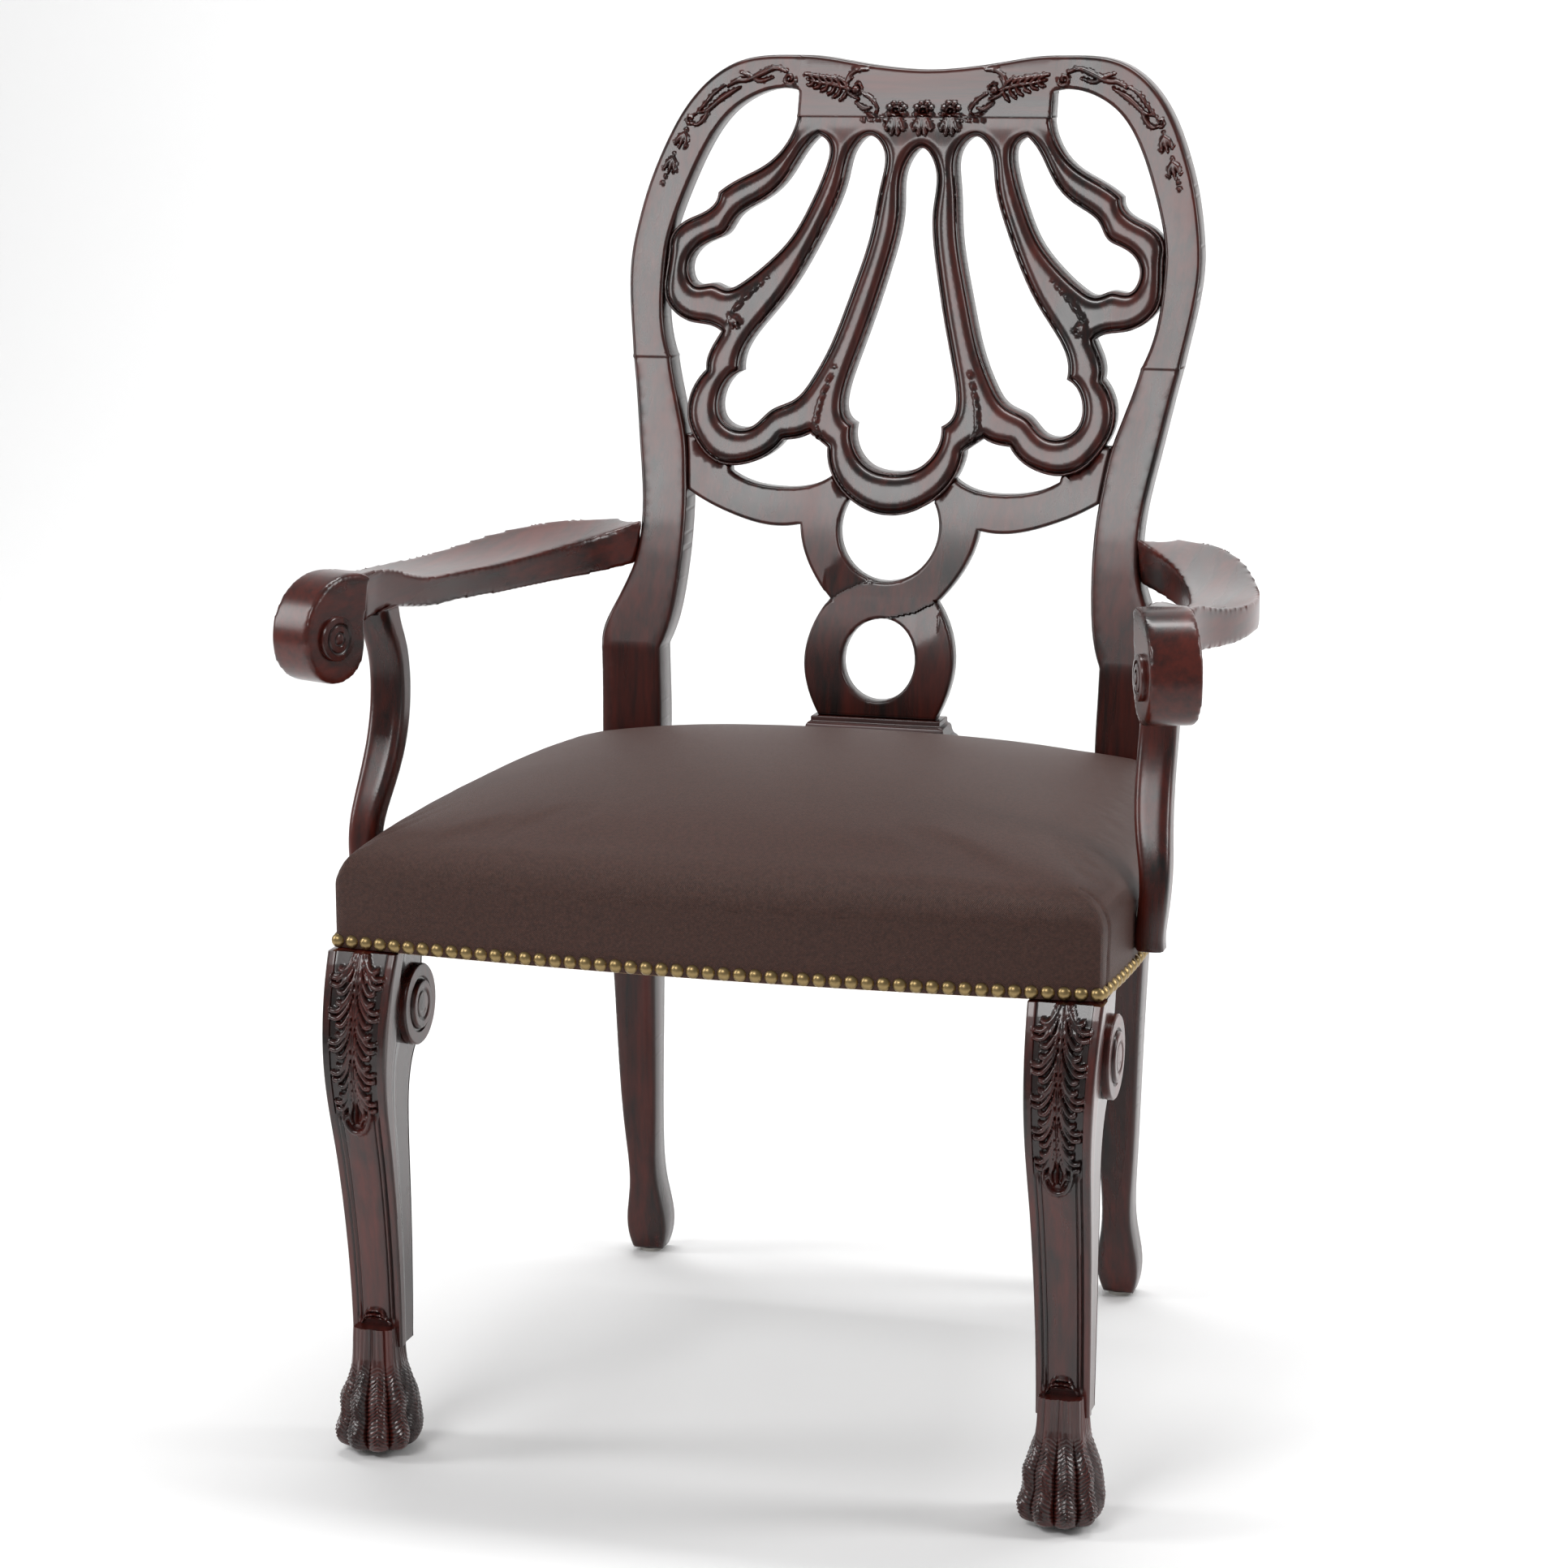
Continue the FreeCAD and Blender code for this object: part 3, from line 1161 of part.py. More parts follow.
def export():
    """Check every object of the document, then write one STEP file for each finished piece."""
    for item in doc.Objects:
        if "Invalid" in item.State or "Error" in item.State:
            raise RuntimeError("%s failed: %s" % (item.Label, item.State))
    for piece in PIECES:
        if piece.Shape.isNull() or not piece.Shape.isValid() or not piece.Shape.Solids:
            raise RuntimeError("%s has no valid solid" % piece.Label)
    for piece in PIECES:
        piece.Shape.exportStep("parts/%s.step" % piece.Label)


build()
export()
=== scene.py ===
import math
import bmesh
import bpy
import numpy as np
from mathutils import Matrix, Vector
from mathutils.bvhtree import BVHTree
from mathutils.geometry import delaunay_2d_cdt
from mathutils.kdtree import KDTree


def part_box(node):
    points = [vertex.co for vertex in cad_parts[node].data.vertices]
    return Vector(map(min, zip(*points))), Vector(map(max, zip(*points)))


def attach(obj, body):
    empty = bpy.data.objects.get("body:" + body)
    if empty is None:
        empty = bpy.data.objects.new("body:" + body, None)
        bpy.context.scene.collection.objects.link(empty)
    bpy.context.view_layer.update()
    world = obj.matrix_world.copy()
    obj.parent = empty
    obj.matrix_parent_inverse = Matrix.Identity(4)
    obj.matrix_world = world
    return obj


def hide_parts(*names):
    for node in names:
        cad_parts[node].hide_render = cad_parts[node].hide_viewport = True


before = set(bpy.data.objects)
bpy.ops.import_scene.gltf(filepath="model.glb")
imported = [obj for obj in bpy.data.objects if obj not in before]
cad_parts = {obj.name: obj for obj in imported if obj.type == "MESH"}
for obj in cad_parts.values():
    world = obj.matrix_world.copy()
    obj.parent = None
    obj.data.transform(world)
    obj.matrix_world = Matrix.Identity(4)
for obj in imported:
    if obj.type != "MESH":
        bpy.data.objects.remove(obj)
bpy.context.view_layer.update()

# ---- The room: a pale floor, soft lamps and the camera. ----
# Pale paper lies flat under the chair and sweeps up behind it, and large soft lamps stand round it.
# Nothing in this section is part of the chair.

floor_mesh = bpy.data.meshes.new("floor")
SWEEP_START = 2.6
SWEEP_RADIUS = 1.6
SWEEP_TOP = 9
FLOOR_HALF = 15
sweep_line = [(-FLOOR_HALF, 0), (SWEEP_START, 0)]
sweep_line += [(SWEEP_START + SWEEP_RADIUS * math.sin(a), SWEEP_RADIUS * (1 - math.cos(a)))
               for a in np.linspace(0.1, math.pi / 2, 15)]
sweep_line += [(SWEEP_START + SWEEP_RADIUS, SWEEP_TOP)]
floor_mesh.from_pydata(
    [(x, y, z) for y, z in sweep_line for x in (-FLOOR_HALF, FLOOR_HALF)], [],
    [(2 * i, 2 * i + 1, 2 * i + 3, 2 * i + 2) for i in range(len(sweep_line) - 1)],
)
floor_mesh.shade_smooth()
floor = bpy.data.objects.new("floor", floor_mesh)
bpy.context.scene.collection.objects.link(floor)
paper = bpy.data.materials.new("pale_paper")
paper.use_nodes = True
paper.node_tree.nodes["Principled BSDF"].inputs["Base Color"].default_value = (0.9, 0.9, 0.9, 1)
paper.node_tree.nodes["Principled BSDF"].inputs["Roughness"].default_value = 0.9
floor_mesh.materials.append(paper)

world = bpy.data.worlds.new("studio")
bpy.context.scene.world = world
world.use_nodes = True
world.node_tree.nodes["Background"].inputs["Color"].default_value = (1, 1, 1, 1)
world.node_tree.nodes["Background"].inputs["Strength"].default_value = 0.34


def soft_box(name, place, target, width, height, power):
    """A flat rectangular lamp that faces a target."""
    lamp = bpy.data.lights.new(name, "AREA")
    lamp.shape = "RECTANGLE"
    lamp.size = width
    lamp.size_y = height
    lamp.energy = power
    lamp_object = bpy.data.objects.new(name, lamp)
    lamp_object.location = place
    lamp_object.rotation_euler = (Vector(target) - Vector(place)).to_track_quat("-Z", "Y").to_euler()
    bpy.context.scene.collection.objects.link(lamp_object)


soft_box("soft_box_front", (-0.85, -2.7, 2.7), (0, 0.2, 0.8), 1.3, 0.8, 38)
soft_box("soft_box_left", (-2.6, -0.9, 1.7), (0, 0, 0.5), 0.6, 1.5, 26)
soft_box("soft_box_right", (2.4, 0.2, 1.7), (0, 0, 0.5), 0.6, 1.5, 30)
soft_box("soft_box_sweep", (0.0, 0.9, 4.2), (0, 3.6, 0.6), 3.4, 1.2, 170)

CAMERA_DIP = 11.56
CAMERA_TURN = 16.03
lens = bpy.data.cameras.new("camera")
lens.lens = 84.75
lens.sensor_width = 36
camera = bpy.data.objects.new("camera", lens)
camera.location = (0.773, -2.80935, 1.070)
camera.rotation_euler = (math.radians(90 - CAMERA_DIP), 0, math.radians(CAMERA_TURN))
bpy.context.scene.collection.objects.link(camera)
bpy.context.scene.camera = camera
bpy.context.scene.view_settings.view_transform = "Standard"

# ---- The back: rear posts, hoop, crest, fretted shell and interlaced straps. ----
# Mahogany sawn to shape and shaved to a shallow hollow, then carved on its face. The posts, hoop and
# straps are left flat with eased edges. The ribs of the shell are rounded between beaded edges.

GRAIN_AND_SHADE = bpy.data.node_groups.new("mahogany_grain_and_painted_shade", "ShaderNodeTree")


def group_socket(group, name, kind, way, default=None):
    """A socket on the outside of a node group."""
    socket = group.interface.new_socket(name=name, in_out=way, socket_type=kind)
    if default is not None:
        socket.default_value = default


group_socket(GRAIN_AND_SHADE, "Light", "NodeSocketColor", "INPUT", (0.1, 0.02, 0.012, 1))
group_socket(GRAIN_AND_SHADE, "Dark", "NodeSocketColor", "INPUT", (0.02, 0.006, 0.005, 1))
group_socket(GRAIN_AND_SHADE, "Run", "NodeSocketVector", "INPUT", (1, 1, 1))
group_socket(GRAIN_AND_SHADE, "Painted Shade", "NodeSocketFloat", "INPUT", 0.0)
group_socket(GRAIN_AND_SHADE, "Color", "NodeSocketColor", "OUTPUT")
group_socket(GRAIN_AND_SHADE, "Roughness", "NodeSocketFloat", "OUTPUT")
group_socket(GRAIN_AND_SHADE, "Height", "NodeSocketFloat", "OUTPUT")


def add_node(tree, kind, **settings):
    """A node with its settings: its own properties where it has them, else the defaults of its inputs."""
    made = tree.nodes.new(kind)
    for name, setting in settings.items():
        if hasattr(made, name):
            setattr(made, name, setting)
        else:
            made.inputs[name.replace("_", " ")].default_value = setting
    return made


def build_grain_and_shade(tree):
    """Long streaks along the run of the wood, pulled toward the dark colour by the painted shade."""
    link = tree.links.new
    source = tree.nodes.new("NodeGroupInput")
    result = tree.nodes.new("NodeGroupOutput")
    place = tree.nodes.new("ShaderNodeTexCoord")
    stretch = add_node(tree, "ShaderNodeVectorMath", operation="MULTIPLY")
    link(place.outputs["Object"], stretch.inputs[0])
    link(source.outputs["Run"], stretch.inputs[1])
    streaks = add_node(tree, "ShaderNodeTexNoise", Scale=150.0, Detail=5.0, Roughness=0.62)
    clouds = add_node(tree, "ShaderNodeTexNoise", Scale=26.0, Detail=3.0)
    pores = add_node(tree, "ShaderNodeTexNoise", Scale=620.0, Detail=2.0)
    for texture in (streaks, clouds, pores):
        link(stretch.outputs[0], texture.inputs["Vector"])
    both = add_node(tree, "ShaderNodeMath", operation="MULTIPLY_ADD")
    link(streaks.outputs["Fac"], both.inputs[0])
    both.inputs[1].default_value = 0.9
    link(clouds.outputs["Fac"], both.inputs[2])
    shade = add_node(tree, "ShaderNodeMapRange")
    shade.inputs["From Min"].default_value = 0.72
    shade.inputs["From Max"].default_value = 1.18
    link(both.outputs[0], shade.inputs["Value"])
    # Painted shade: where a piece's painted shade is high, the colour goes to the dark end.
    keep = add_node(tree, "ShaderNodeMath", operation="SUBTRACT")
    keep.inputs[0].default_value = 1.0
    link(source.outputs["Painted Shade"], keep.inputs[1])
    amount = add_node(tree, "ShaderNodeMath", operation="MULTIPLY", use_clamp=True)
    link(shade.outputs[0], amount.inputs[0])
    link(keep.outputs[0], amount.inputs[1])
    mix = add_node(tree, "ShaderNodeMix", data_type="RGBA")
    link(amount.outputs[0], mix.inputs[0])
    link(source.outputs["Dark"], mix.inputs[6])
    link(source.outputs["Light"], mix.inputs[7])
    link(mix.outputs[2], result.inputs["Color"])
    rough = add_node(tree, "ShaderNodeMapRange")
    rough.inputs["To Min"].default_value = 0.22
    rough.inputs["To Max"].default_value = 0.34
    link(clouds.outputs["Fac"], rough.inputs["Value"])
    link(rough.outputs[0], result.inputs["Roughness"])
    link(pores.outputs["Fac"], result.inputs["Height"])


build_grain_and_shade(GRAIN_AND_SHADE)

RED_BROWN = (0.080, 0.0095, 0.0048, 1)
NEAR_BLACK = (0.0065, 0.0026, 0.0022, 1)
UPRIGHT = (1.0, 1.0, 0.07)
FRONT_TO_BACK = (1.0, 0.07, 1.0)
ACROSS = (0.07, 1.0, 1.0)


def lacquered(name, run, light=RED_BROWN, dark=NEAR_BLACK, coat=0.12):
    """Dark red-brown satin lacquer, whose grain runs along one axis, darkened where each piece carries
    painted shade.
    """
    material = bpy.data.materials.new(name)
    material.use_nodes = True
    tree = material.node_tree
    skin = tree.nodes["Principled BSDF"]
    grain = tree.nodes.new("ShaderNodeGroup")
    grain.node_tree = GRAIN_AND_SHADE
    grain.inputs["Light"].default_value = light
    grain.inputs["Dark"].default_value = dark
    grain.inputs["Run"].default_value = run
    # The painted shade stored on each piece's points: darkening in the hollows of the carving, along edges
    # and on the flanks of ribs, strokes and the legs' sides.
    painted_shade = add_node(tree, "ShaderNodeAttribute", attribute_name="painted_shade")
    tree.links.new(painted_shade.outputs["Fac"], grain.inputs["Painted Shade"])
    tree.links.new(grain.outputs["Color"], skin.inputs["Base Color"])
    tree.links.new(grain.outputs["Roughness"], skin.inputs["Roughness"])
    bump = add_node(tree, "ShaderNodeBump", Strength=0.05, Distance=0.0003)
    tree.links.new(grain.outputs["Height"], bump.inputs["Height"])
    tree.links.new(bump.outputs["Normal"], skin.inputs["Normal"])
    skin.inputs["Coat Weight"].default_value = coat
    skin.inputs["Coat Roughness"].default_value = 0.12
    skin.inputs["Specular IOR Level"].default_value = 0.42
    return material


wood_upright = lacquered("mahogany_upright", UPRIGHT)
wood_across = lacquered("mahogany_across", ACROSS)
wood_along = lacquered("mahogany_front_to_back", FRONT_TO_BACK)


ARRIS_ANGLE = math.radians(48)


def crisp(piece):
    """Outward normals everywhere, and sharp shading where two faces meet at a clear arris."""
    work = bmesh.new()
    work.from_mesh(piece.data)
    bmesh.ops.recalc_face_normals(work, faces=work.faces)
    for edge in work.edges:
        edge.smooth = len(edge.link_faces) != 2 or edge.calc_face_angle(0) < ARRIS_ANGLE
    work.to_mesh(piece.data)
    work.free()


def finish_piece(name, points, faces, material, nodes, painted_shade=None):
    """A smooth-shaded piece that rides on the chair and stands for its CAD nodes."""
    mesh = bpy.data.meshes.new(name)
    mesh.from_pydata([tuple(p) for p in points], [], [tuple(int(i) for i in f) for f in faces])
    mesh.validate()
    # The painted shade, stored on the points for the material to read.
    if painted_shade is not None and len(mesh.vertices) == len(painted_shade):
        layer = mesh.attributes.new("painted_shade", "FLOAT", "POINT")
        layer.data.foreach_set("value", np.clip(painted_shade, 0, 1).astype(np.float32))
    mesh.shade_smooth()
    mesh.materials.append(material)
    piece = bpy.data.objects.new(name, mesh)
    bpy.context.scene.collection.objects.link(piece)
    crisp(piece)
    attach(piece, "root")
    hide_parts(*nodes)
    return piece


def cad_tree(name):
    """A search tree of a CAD node's faces, for rays."""
    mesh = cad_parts[name].data
    places = [v.co.copy() for v in mesh.vertices]
    return BVHTree.FromPolygons(places, [tuple(p.vertices) for p in mesh.polygons])


WELD = 2e-5
SMALLEST_OPENING = 0.05


def welded(name):
    """A CAD node's mesh with its coincident points joined."""
    work = bmesh.new()
    work.from_mesh(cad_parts[name].data)
    bmesh.ops.remove_doubles(work, verts=work.verts, dist=WELD)
    return work


def chains(edges):
    """The runs of points that the edges join up."""
    ways = {}
    for edge in edges:
        first, second = edge.verts
        ways.setdefault(first, []).append(second)
        ways.setdefault(second, []).append(first)
    runs = []
    used = set()
    for start in ways:
        if start in used:
            continue
        chain = [start]
        used.add(start)
        while True:
            onward = [v for v in ways[chain[-1]] if v not in used]
            if not onward:
                break
            chain.append(onward[0])
            used.add(onward[0])
        runs.append(chain)
    return runs


def face_loops(name, looking, axis=1):
    """The outlines of a node's faces that look one way along an axis, without its bores and housings."""
    work = welded(name)
    facing = {f for f in work.faces if f.normal[axis] * looking > 0.72}
    rim = [e for e in work.edges if sum(f in facing for f in e.link_faces) == 1]
    across, up = [i for i in range(3) if i != axis]
    loops = [np.array([[v.co[across], v.co[up]] for v in chain]) for chain in chains(rim)]
    work.free()
    return [loop for loop in loops if np.hypot(*np.ptp(loop, axis=0)) > SMALLEST_OPENING]


def resampled(loop, step):
    """The loop with even steps along it, keeping its sharp corners."""
    closed = np.vstack([loop, loop[:1]])
    runs = np.diff(closed, axis=0)
    lengths = np.hypot(*runs.T)
    keep = lengths > 1e-7
    runs = runs[keep]
    lengths = lengths[keep]
    starts = closed[:-1][keep]
    before = np.roll(runs, 1, axis=0)
    turn = np.abs(np.arctan2(before[:, 0] * runs[:, 1] - before[:, 1] * runs[:, 0], (before * runs).sum(1)))
    corners = np.where(turn > 0.6)[0]
    if not len(corners):
        corners = np.array([0])
    points = []
    for here, after in zip(corners, np.append(corners[1:], corners[0] + len(starts))):
        index = np.arange(here, after + 1) % len(starts)
        stretch = starts[index]
        along = np.append(0, np.cumsum(np.hypot(*np.diff(stretch, axis=0).T)))
        count = max(1, int(round(along[-1] / step)))
        wanted = np.linspace(0, along[-1], count + 1)[:-1]
        points.append(np.column_stack([np.interp(wanted, along, stretch[:, k]) for k in (0, 1)]))
    return np.vstack(points)


def inside_loops(points, loops):
    """Which points lie inside an odd number of the loops."""
    inside = np.zeros(len(points), bool)
    for loop in loops:
        for (x0, y0), (x1, y1) in zip(loop, np.roll(loop, -1, axis=0)):
            if y0 == y1:
                continue
            crosses = (points[:, 1] < y0) != (points[:, 1] < y1)
            inside ^= crosses & (points[:, 0] < x0 + (points[:, 1] - y0) * (x1 - x0) / (y1 - y0))
    return inside


def flat_tree(points, keys):
    """A search tree of the points in a plane that the keys name."""
    tree = KDTree(len(keys))
    for key in keys:
        tree.insert((points[key][0], points[key][1], 0), int(key))
    tree.balance()
    return tree


def filled(points, values):
    """The values, with each missing one taken from the nearest point that has one."""
    near = flat_tree(points, np.where(~np.isnan(values))[0])
    for index in np.where(np.isnan(values))[0]:
        values[index] = values[near.find((points[index][0], points[index][1], 0))[1]]
    return values


def nowhere(across, up):
    """The rule for a piece with no glued edges."""
    return False


def edge_tree(loops, glued=nowhere, step=0.0007):
    """A search tree of the free edges: the stretches that aren't glued to a neighbour."""
    spots = [p for loop in loops for p in resampled(loop, step) if not glued(p[0], p[1])]
    return flat_tree(spots, range(len(spots)))


def distances(points, tree):
    """How far each point is from the nearest one in the tree."""
    return np.array([tree.find((p[0], p[1], 0))[2] for p in points])


def normals(loop):
    """The unit normal at each point of a loop, on the left of the way it runs."""
    ahead = np.roll(loop, -1, axis=0) - np.roll(loop, 1, axis=0)
    return np.column_stack([-ahead[:, 1], ahead[:, 0]]) / np.hypot(*ahead.T)[:, None]


def staggered(x0, x1, z0, z1, spacing):
    """Points in rows, each row set half a space along from the last."""
    across = np.arange(x0, x1, spacing)
    up = np.arange(z0, z1, spacing * 0.87)
    return np.array([(x + (row % 2) * spacing / 2, z) for row, z in enumerate(up) for x in across])


def triangulated(loops, rings, spacing, fine=None):
    """Points and triangles that fill the outline, with rows of points at set distances from its edge."""
    border = np.vstack(loops)
    every = edge_tree(loops)
    spots = []
    for ring in rings:
        for loop in loops:
            for side in (-1, 1):
                trial = loop + normals(loop) * ring * side
                spots.append(trial[np.abs(distances(trial, every) - ring) < 0.06 * ring + 2e-5])
    low = border.min(0)
    high = border.max(0)
    grids = [(low[0], high[0], low[1], high[1], spacing)] + ([fine] if fine else [])
    for grid in grids:
        dots = staggered(*grid)
        spots.append(dots[distances(dots, every) > rings[-1] + grid[-1] * 0.45])
    inner = np.vstack([s for s in spots if len(s)])
    inner = inner[inside_loops(inner, loops)]
    points = [Vector(p) for p in np.vstack([border, inner])]
    edges = []
    first = 0
    for loop in loops:
        count = len(loop)
        edges += [(first + i, first + (i + 1) % count) for i in range(count)]
        first += count
    made, _, triangles, _, _, _ = delaunay_2d_cdt(points, edges, [], 0, 1e-7)
    made = np.array([tuple(p) for p in made])
    triangles = np.array([tuple(t) for t in triangles])
    middles = made[triangles].mean(1)
    triangles = triangles[inside_loops(middles, loops)]
    return made, triangles, len(border)


def depth_at(tree, points, start, way):
    """The y of the surface that a line along the Y axis meets at each point."""
    found = np.full(len(points), np.nan)
    for index, (x, z) in enumerate(points):
        hit = tree.ray_cast(Vector((x, start, z)), Vector((0, way, 0)))
        if hit[0] is not None:
            found[index] = hit[0].y
    return filled(points, found)


def nudged_in(loops, step):
    """The outlines' points, each moved a little way into the wood."""
    moved = []
    for loop in loops:
        one = loop + normals(loop) * step
        other = loop - normals(loop) * step
        moved.append(np.where(inside_loops(one, loops)[:, None], one, other))
    return np.vstack(moved)


def eased(distance, radius):
    """How far a rounded edge falls away, at a distance in from it."""
    inward = np.clip(radius - distance, 0, radius)
    return radius - np.sqrt(radius ** 2 - inward ** 2)


def edge_painted_shade(gap, most=0.75, reach=0.004):
    """Painted shade along an edge, which fades inward."""
    return np.clip(most - gap / reach, 0, 1)


def turned(points, triangles):
    """The triangles, each with its corners anticlockwise."""
    faces = []
    for triangle in triangles:
        a, b, c = points[triangle]
        turn = (b[0] - a[0]) * (c[1] - a[1]) - (b[1] - a[1]) * (c[0] - a[0])
        faces.append(tuple(triangle) if turn > 0 else tuple(triangle[::-1]))
    return faces


def board(name, node, material, outline_side, radius, carve=None, glued=nowhere,
          rings=(0.0008, 0.002, 0.0035), spacing=0.006, fine=None, step=0.0022):
    """A sawn and carved board, made on the outline and the two faces of its CAD node."""
    loops = [resampled(loop, step) for loop in face_loops(node, outline_side)]
    points, triangles, count = triangulated(loops, rings, spacing, fine)
    free = edge_tree(loops, glued, 0.0004)
    gap = distances(points, free)
    gap[:count] = [0 if not glued(p[0], p[1]) else d for p, d in zip(points[:count], gap[:count])]
    tree = cad_tree(node)
    inward = points.copy()
    inward[:count] = nudged_in(loops, 0.0005)
    front = depth_at(tree, inward, -2, 1)
    rear = depth_at(tree, inward, 2, -1)
    thickness = np.maximum(rear - front, 0.002)
    if carve is None:
        lift = -eased(gap, radius)
        painted_shade = edge_painted_shade(gap)
    else:
        lift, painted_shade = carve(points, gap)
    fall = eased(gap, radius * 0.7)
    total = len(points)
    solid = np.vstack([
        np.column_stack([points[:, 0], front - lift, points[:, 1]]),
        np.column_stack([points[:, 0], np.maximum(rear - fall, front - lift + 0.001), points[:, 1]]),
    ])
    faces = turned(points, triangles)
    faces += [tuple(i + total for i in face[::-1]) for face in faces]
    first = 0
    for loop in loops:
        size = len(loop)
        for i in range(size):
            a = first + i
            b = first + (i + 1) % size
            faces.append((a, b, b + total, a + total))
        first += size
    # Painted shade along the edges of the rear face, fainter and wider than on the front.
    painted_shades = np.concatenate([painted_shade, edge_painted_shade(gap, 0.5, 0.006)])
    finish_piece(name, solid, faces, material, [node], painted_shades)


# The heights of the glued joints, how far from the middle the crest ends, and how closely a point has
# to lie on a joint to belong to it.
SHOULDER_JOINT = 0.792
CREST_JOINT = 0.996
CREST_END = 0.1126
JOINT_NEAR = 6e-4


def post_glued(x, z):
    """The joint between a post and the hoop."""
    return abs(z - SHOULDER_JOINT) < JOINT_NEAR and abs(x) > 0.2


def crest_end_glued(x, z):
    """The joint between the hoop and the crest."""
    return abs(abs(x) - CREST_END) < JOINT_NEAR and z > 1.017


def shell_glued(x, z):
    """The joint between the shell and the crest."""
    return abs(z - CREST_JOINT) < JOINT_NEAR


for side in ("left", "right"):
    board("rear_post_" + side, "stile_" + side, wood_upright, -1, 0.0035, glued=post_glued)

# The ornament is a set of rounded strokes: leaves, husks, beads and scrolls cut from the surface.
MIRROR = np.array([-1.0, 1.0])


def stroke(points, thick, height, both=True):
    """A tapered rounded stroke along a smooth line through a few points, all in millimetres."""
    points = np.array(points, float)
    if len(points) > 2:
        spots = []
        padded = np.vstack([2 * points[0] - points[1], points, 2 * points[-1] - points[-2]])
        for a, b, c, d in zip(padded, padded[1:], padded[2:], padded[3:]):
            for share in np.linspace(0, 1, 7)[:-1]:
                spots.append(0.5 * (2 * b + (c - a) * share + (2 * a - 5 * b + 4 * c - d) * share ** 2
                                    + (3 * b - a - 3 * c + d) * share ** 3))
        points = np.vstack(spots + [points[-1]])
    wide = np.interp(np.linspace(0, 1, len(points)), np.linspace(0, 1, len(thick)), thick)
    made = [(points / 1000, wide / 1000, height / 1000)]
    if both:
        made.append((points * MIRROR / 1000, wide / 1000, height / 1000))
    return made


DOME = 1.2


def raised(points, strokes):
    """The height of the ornament at each point, and its painted shade: darker toward the sides of each stroke
    and in a ring on the ground round its foot.
    """
    height = np.zeros(len(points))
    painted_shade = np.zeros(len(points))
    for line, wide, tall in strokes:
        reach = wide.max() * 1.7
        near = np.where(((points > line.min(0) - reach) & (points < line.max(0) + reach)).all(1))[0]
        if not len(near):
            continue
        spot = points[near]
        best = np.full(len(near), 9.0)
        for a, b, wa, wb in zip(line[:-1], line[1:], wide[:-1], wide[1:]):
            run = b - a
            share = np.clip(((spot - a) @ run) / max(run @ run, 1e-12), 0, 1)
            away = np.hypot(*(spot - a - share[:, None] * run).T)
            best = np.minimum(best, away / (wa + (wb - wa) * share))
        dome = DOME * tall * np.sqrt(np.clip(1 - best ** 2, 0, 1))
        over = dome > height[near]
        # Painted shade: each stroke darkens toward its sides, and the bare ground darkens in a ring at its
        # foot.
        ring = np.clip(1 - np.abs(best - 1.05) / 0.4, 0, 1)
        painted_shade[near] = np.where(over, np.clip(best ** 4, 0, 1), np.maximum(painted_shade[near], ring * (dome == 0)))
        height[near] = np.maximum(height[near], dome)
    return height, painted_shade


def husk(x, z, lean, size):
    """A bellflower: three petals that hang from a bead."""
    made = stroke([(x, z), (x, z + 0.1)], [1.7 * size] * 2, 2.2 * size)
    turn = math.radians(lean)
    across = np.array([math.cos(turn), math.sin(turn)])
    down = np.array([math.sin(turn), -math.cos(turn)])
    at = np.array([x, z])
    for spread, long in ((-4.6, 15), (0, 17.5), (4.6, 15)):
        tip = at + across * spread * size + down * long * size
        belly = at + across * spread * 0.75 * size + down * 8 * size
        made += stroke([at + down * 2 * size, belly, tip], [1.0 * size, 2.6 * size, 0.9 * size], 2.6 * size)
        if spread:
            flick = tip + across * np.sign(spread) * 2.4 * size - down * 1.5 * size
            made += stroke([tip, flick], [1.1 * size, 0.8 * size], 1.7 * size)
    return made


def curl(x, z, radius, start, turns, thick, height):
    """A scroll that winds in to its eye."""
    points = []
    for step in range(int(abs(turns) * 12) + 1):
        share = step / (abs(turns) * 12)
        angle = math.radians(start) + share * turns * 2 * math.pi
        r = radius * (1 - 0.75 * share)
        points.append((x + r * math.cos(angle), z + r * math.sin(angle)))
    return stroke(points, [thick, thick * 0.7], height)


HOOP_ORNAMENT = (
    curl(121, 1028, 5.5, 200, 1.1, 1.8, 2.6)
    + stroke([(124, 1034), (134, 1037), (147, 1032), (158, 1027), (168, 1026), (176, 1021)],
             [1.3, 2.0, 2.6, 2.0, 2.2, 1.0], 3.0)
    + stroke([(136, 1029), (147, 1026), (156, 1030), (165, 1033)], [1.0, 2.2, 1.8, 0.8], 2.4)
    + stroke([(164, 1021), (176, 1014), (184, 1008), (192, 1001), (200, 999)], [1.0, 2.6, 2.2, 1.9, 0.8], 3.0)
    + stroke([(178, 1022), (187, 1016), (196, 1005), (204, 996)], [0.8, 1.8, 1.6, 0.8], 2.2)
    + stroke([(190, 1004), (194, 995), (200, 989), (207, 990)], [1.4, 2.2, 1.7, 0.8], 2.6)
    + curl(207, 993, 4.0, 270, 0.9, 1.4, 2.2)
    + husk(210, 984, 18, 0.95)
    + husk(219, 963, 14, 0.95)
    + stroke([(225.5, 944), (225.6, 944)], [1.7, 1.7], 2.0)
    + stroke([(227, 938.5), (227.1, 938.5)], [1.9, 1.9], 2.0)
)


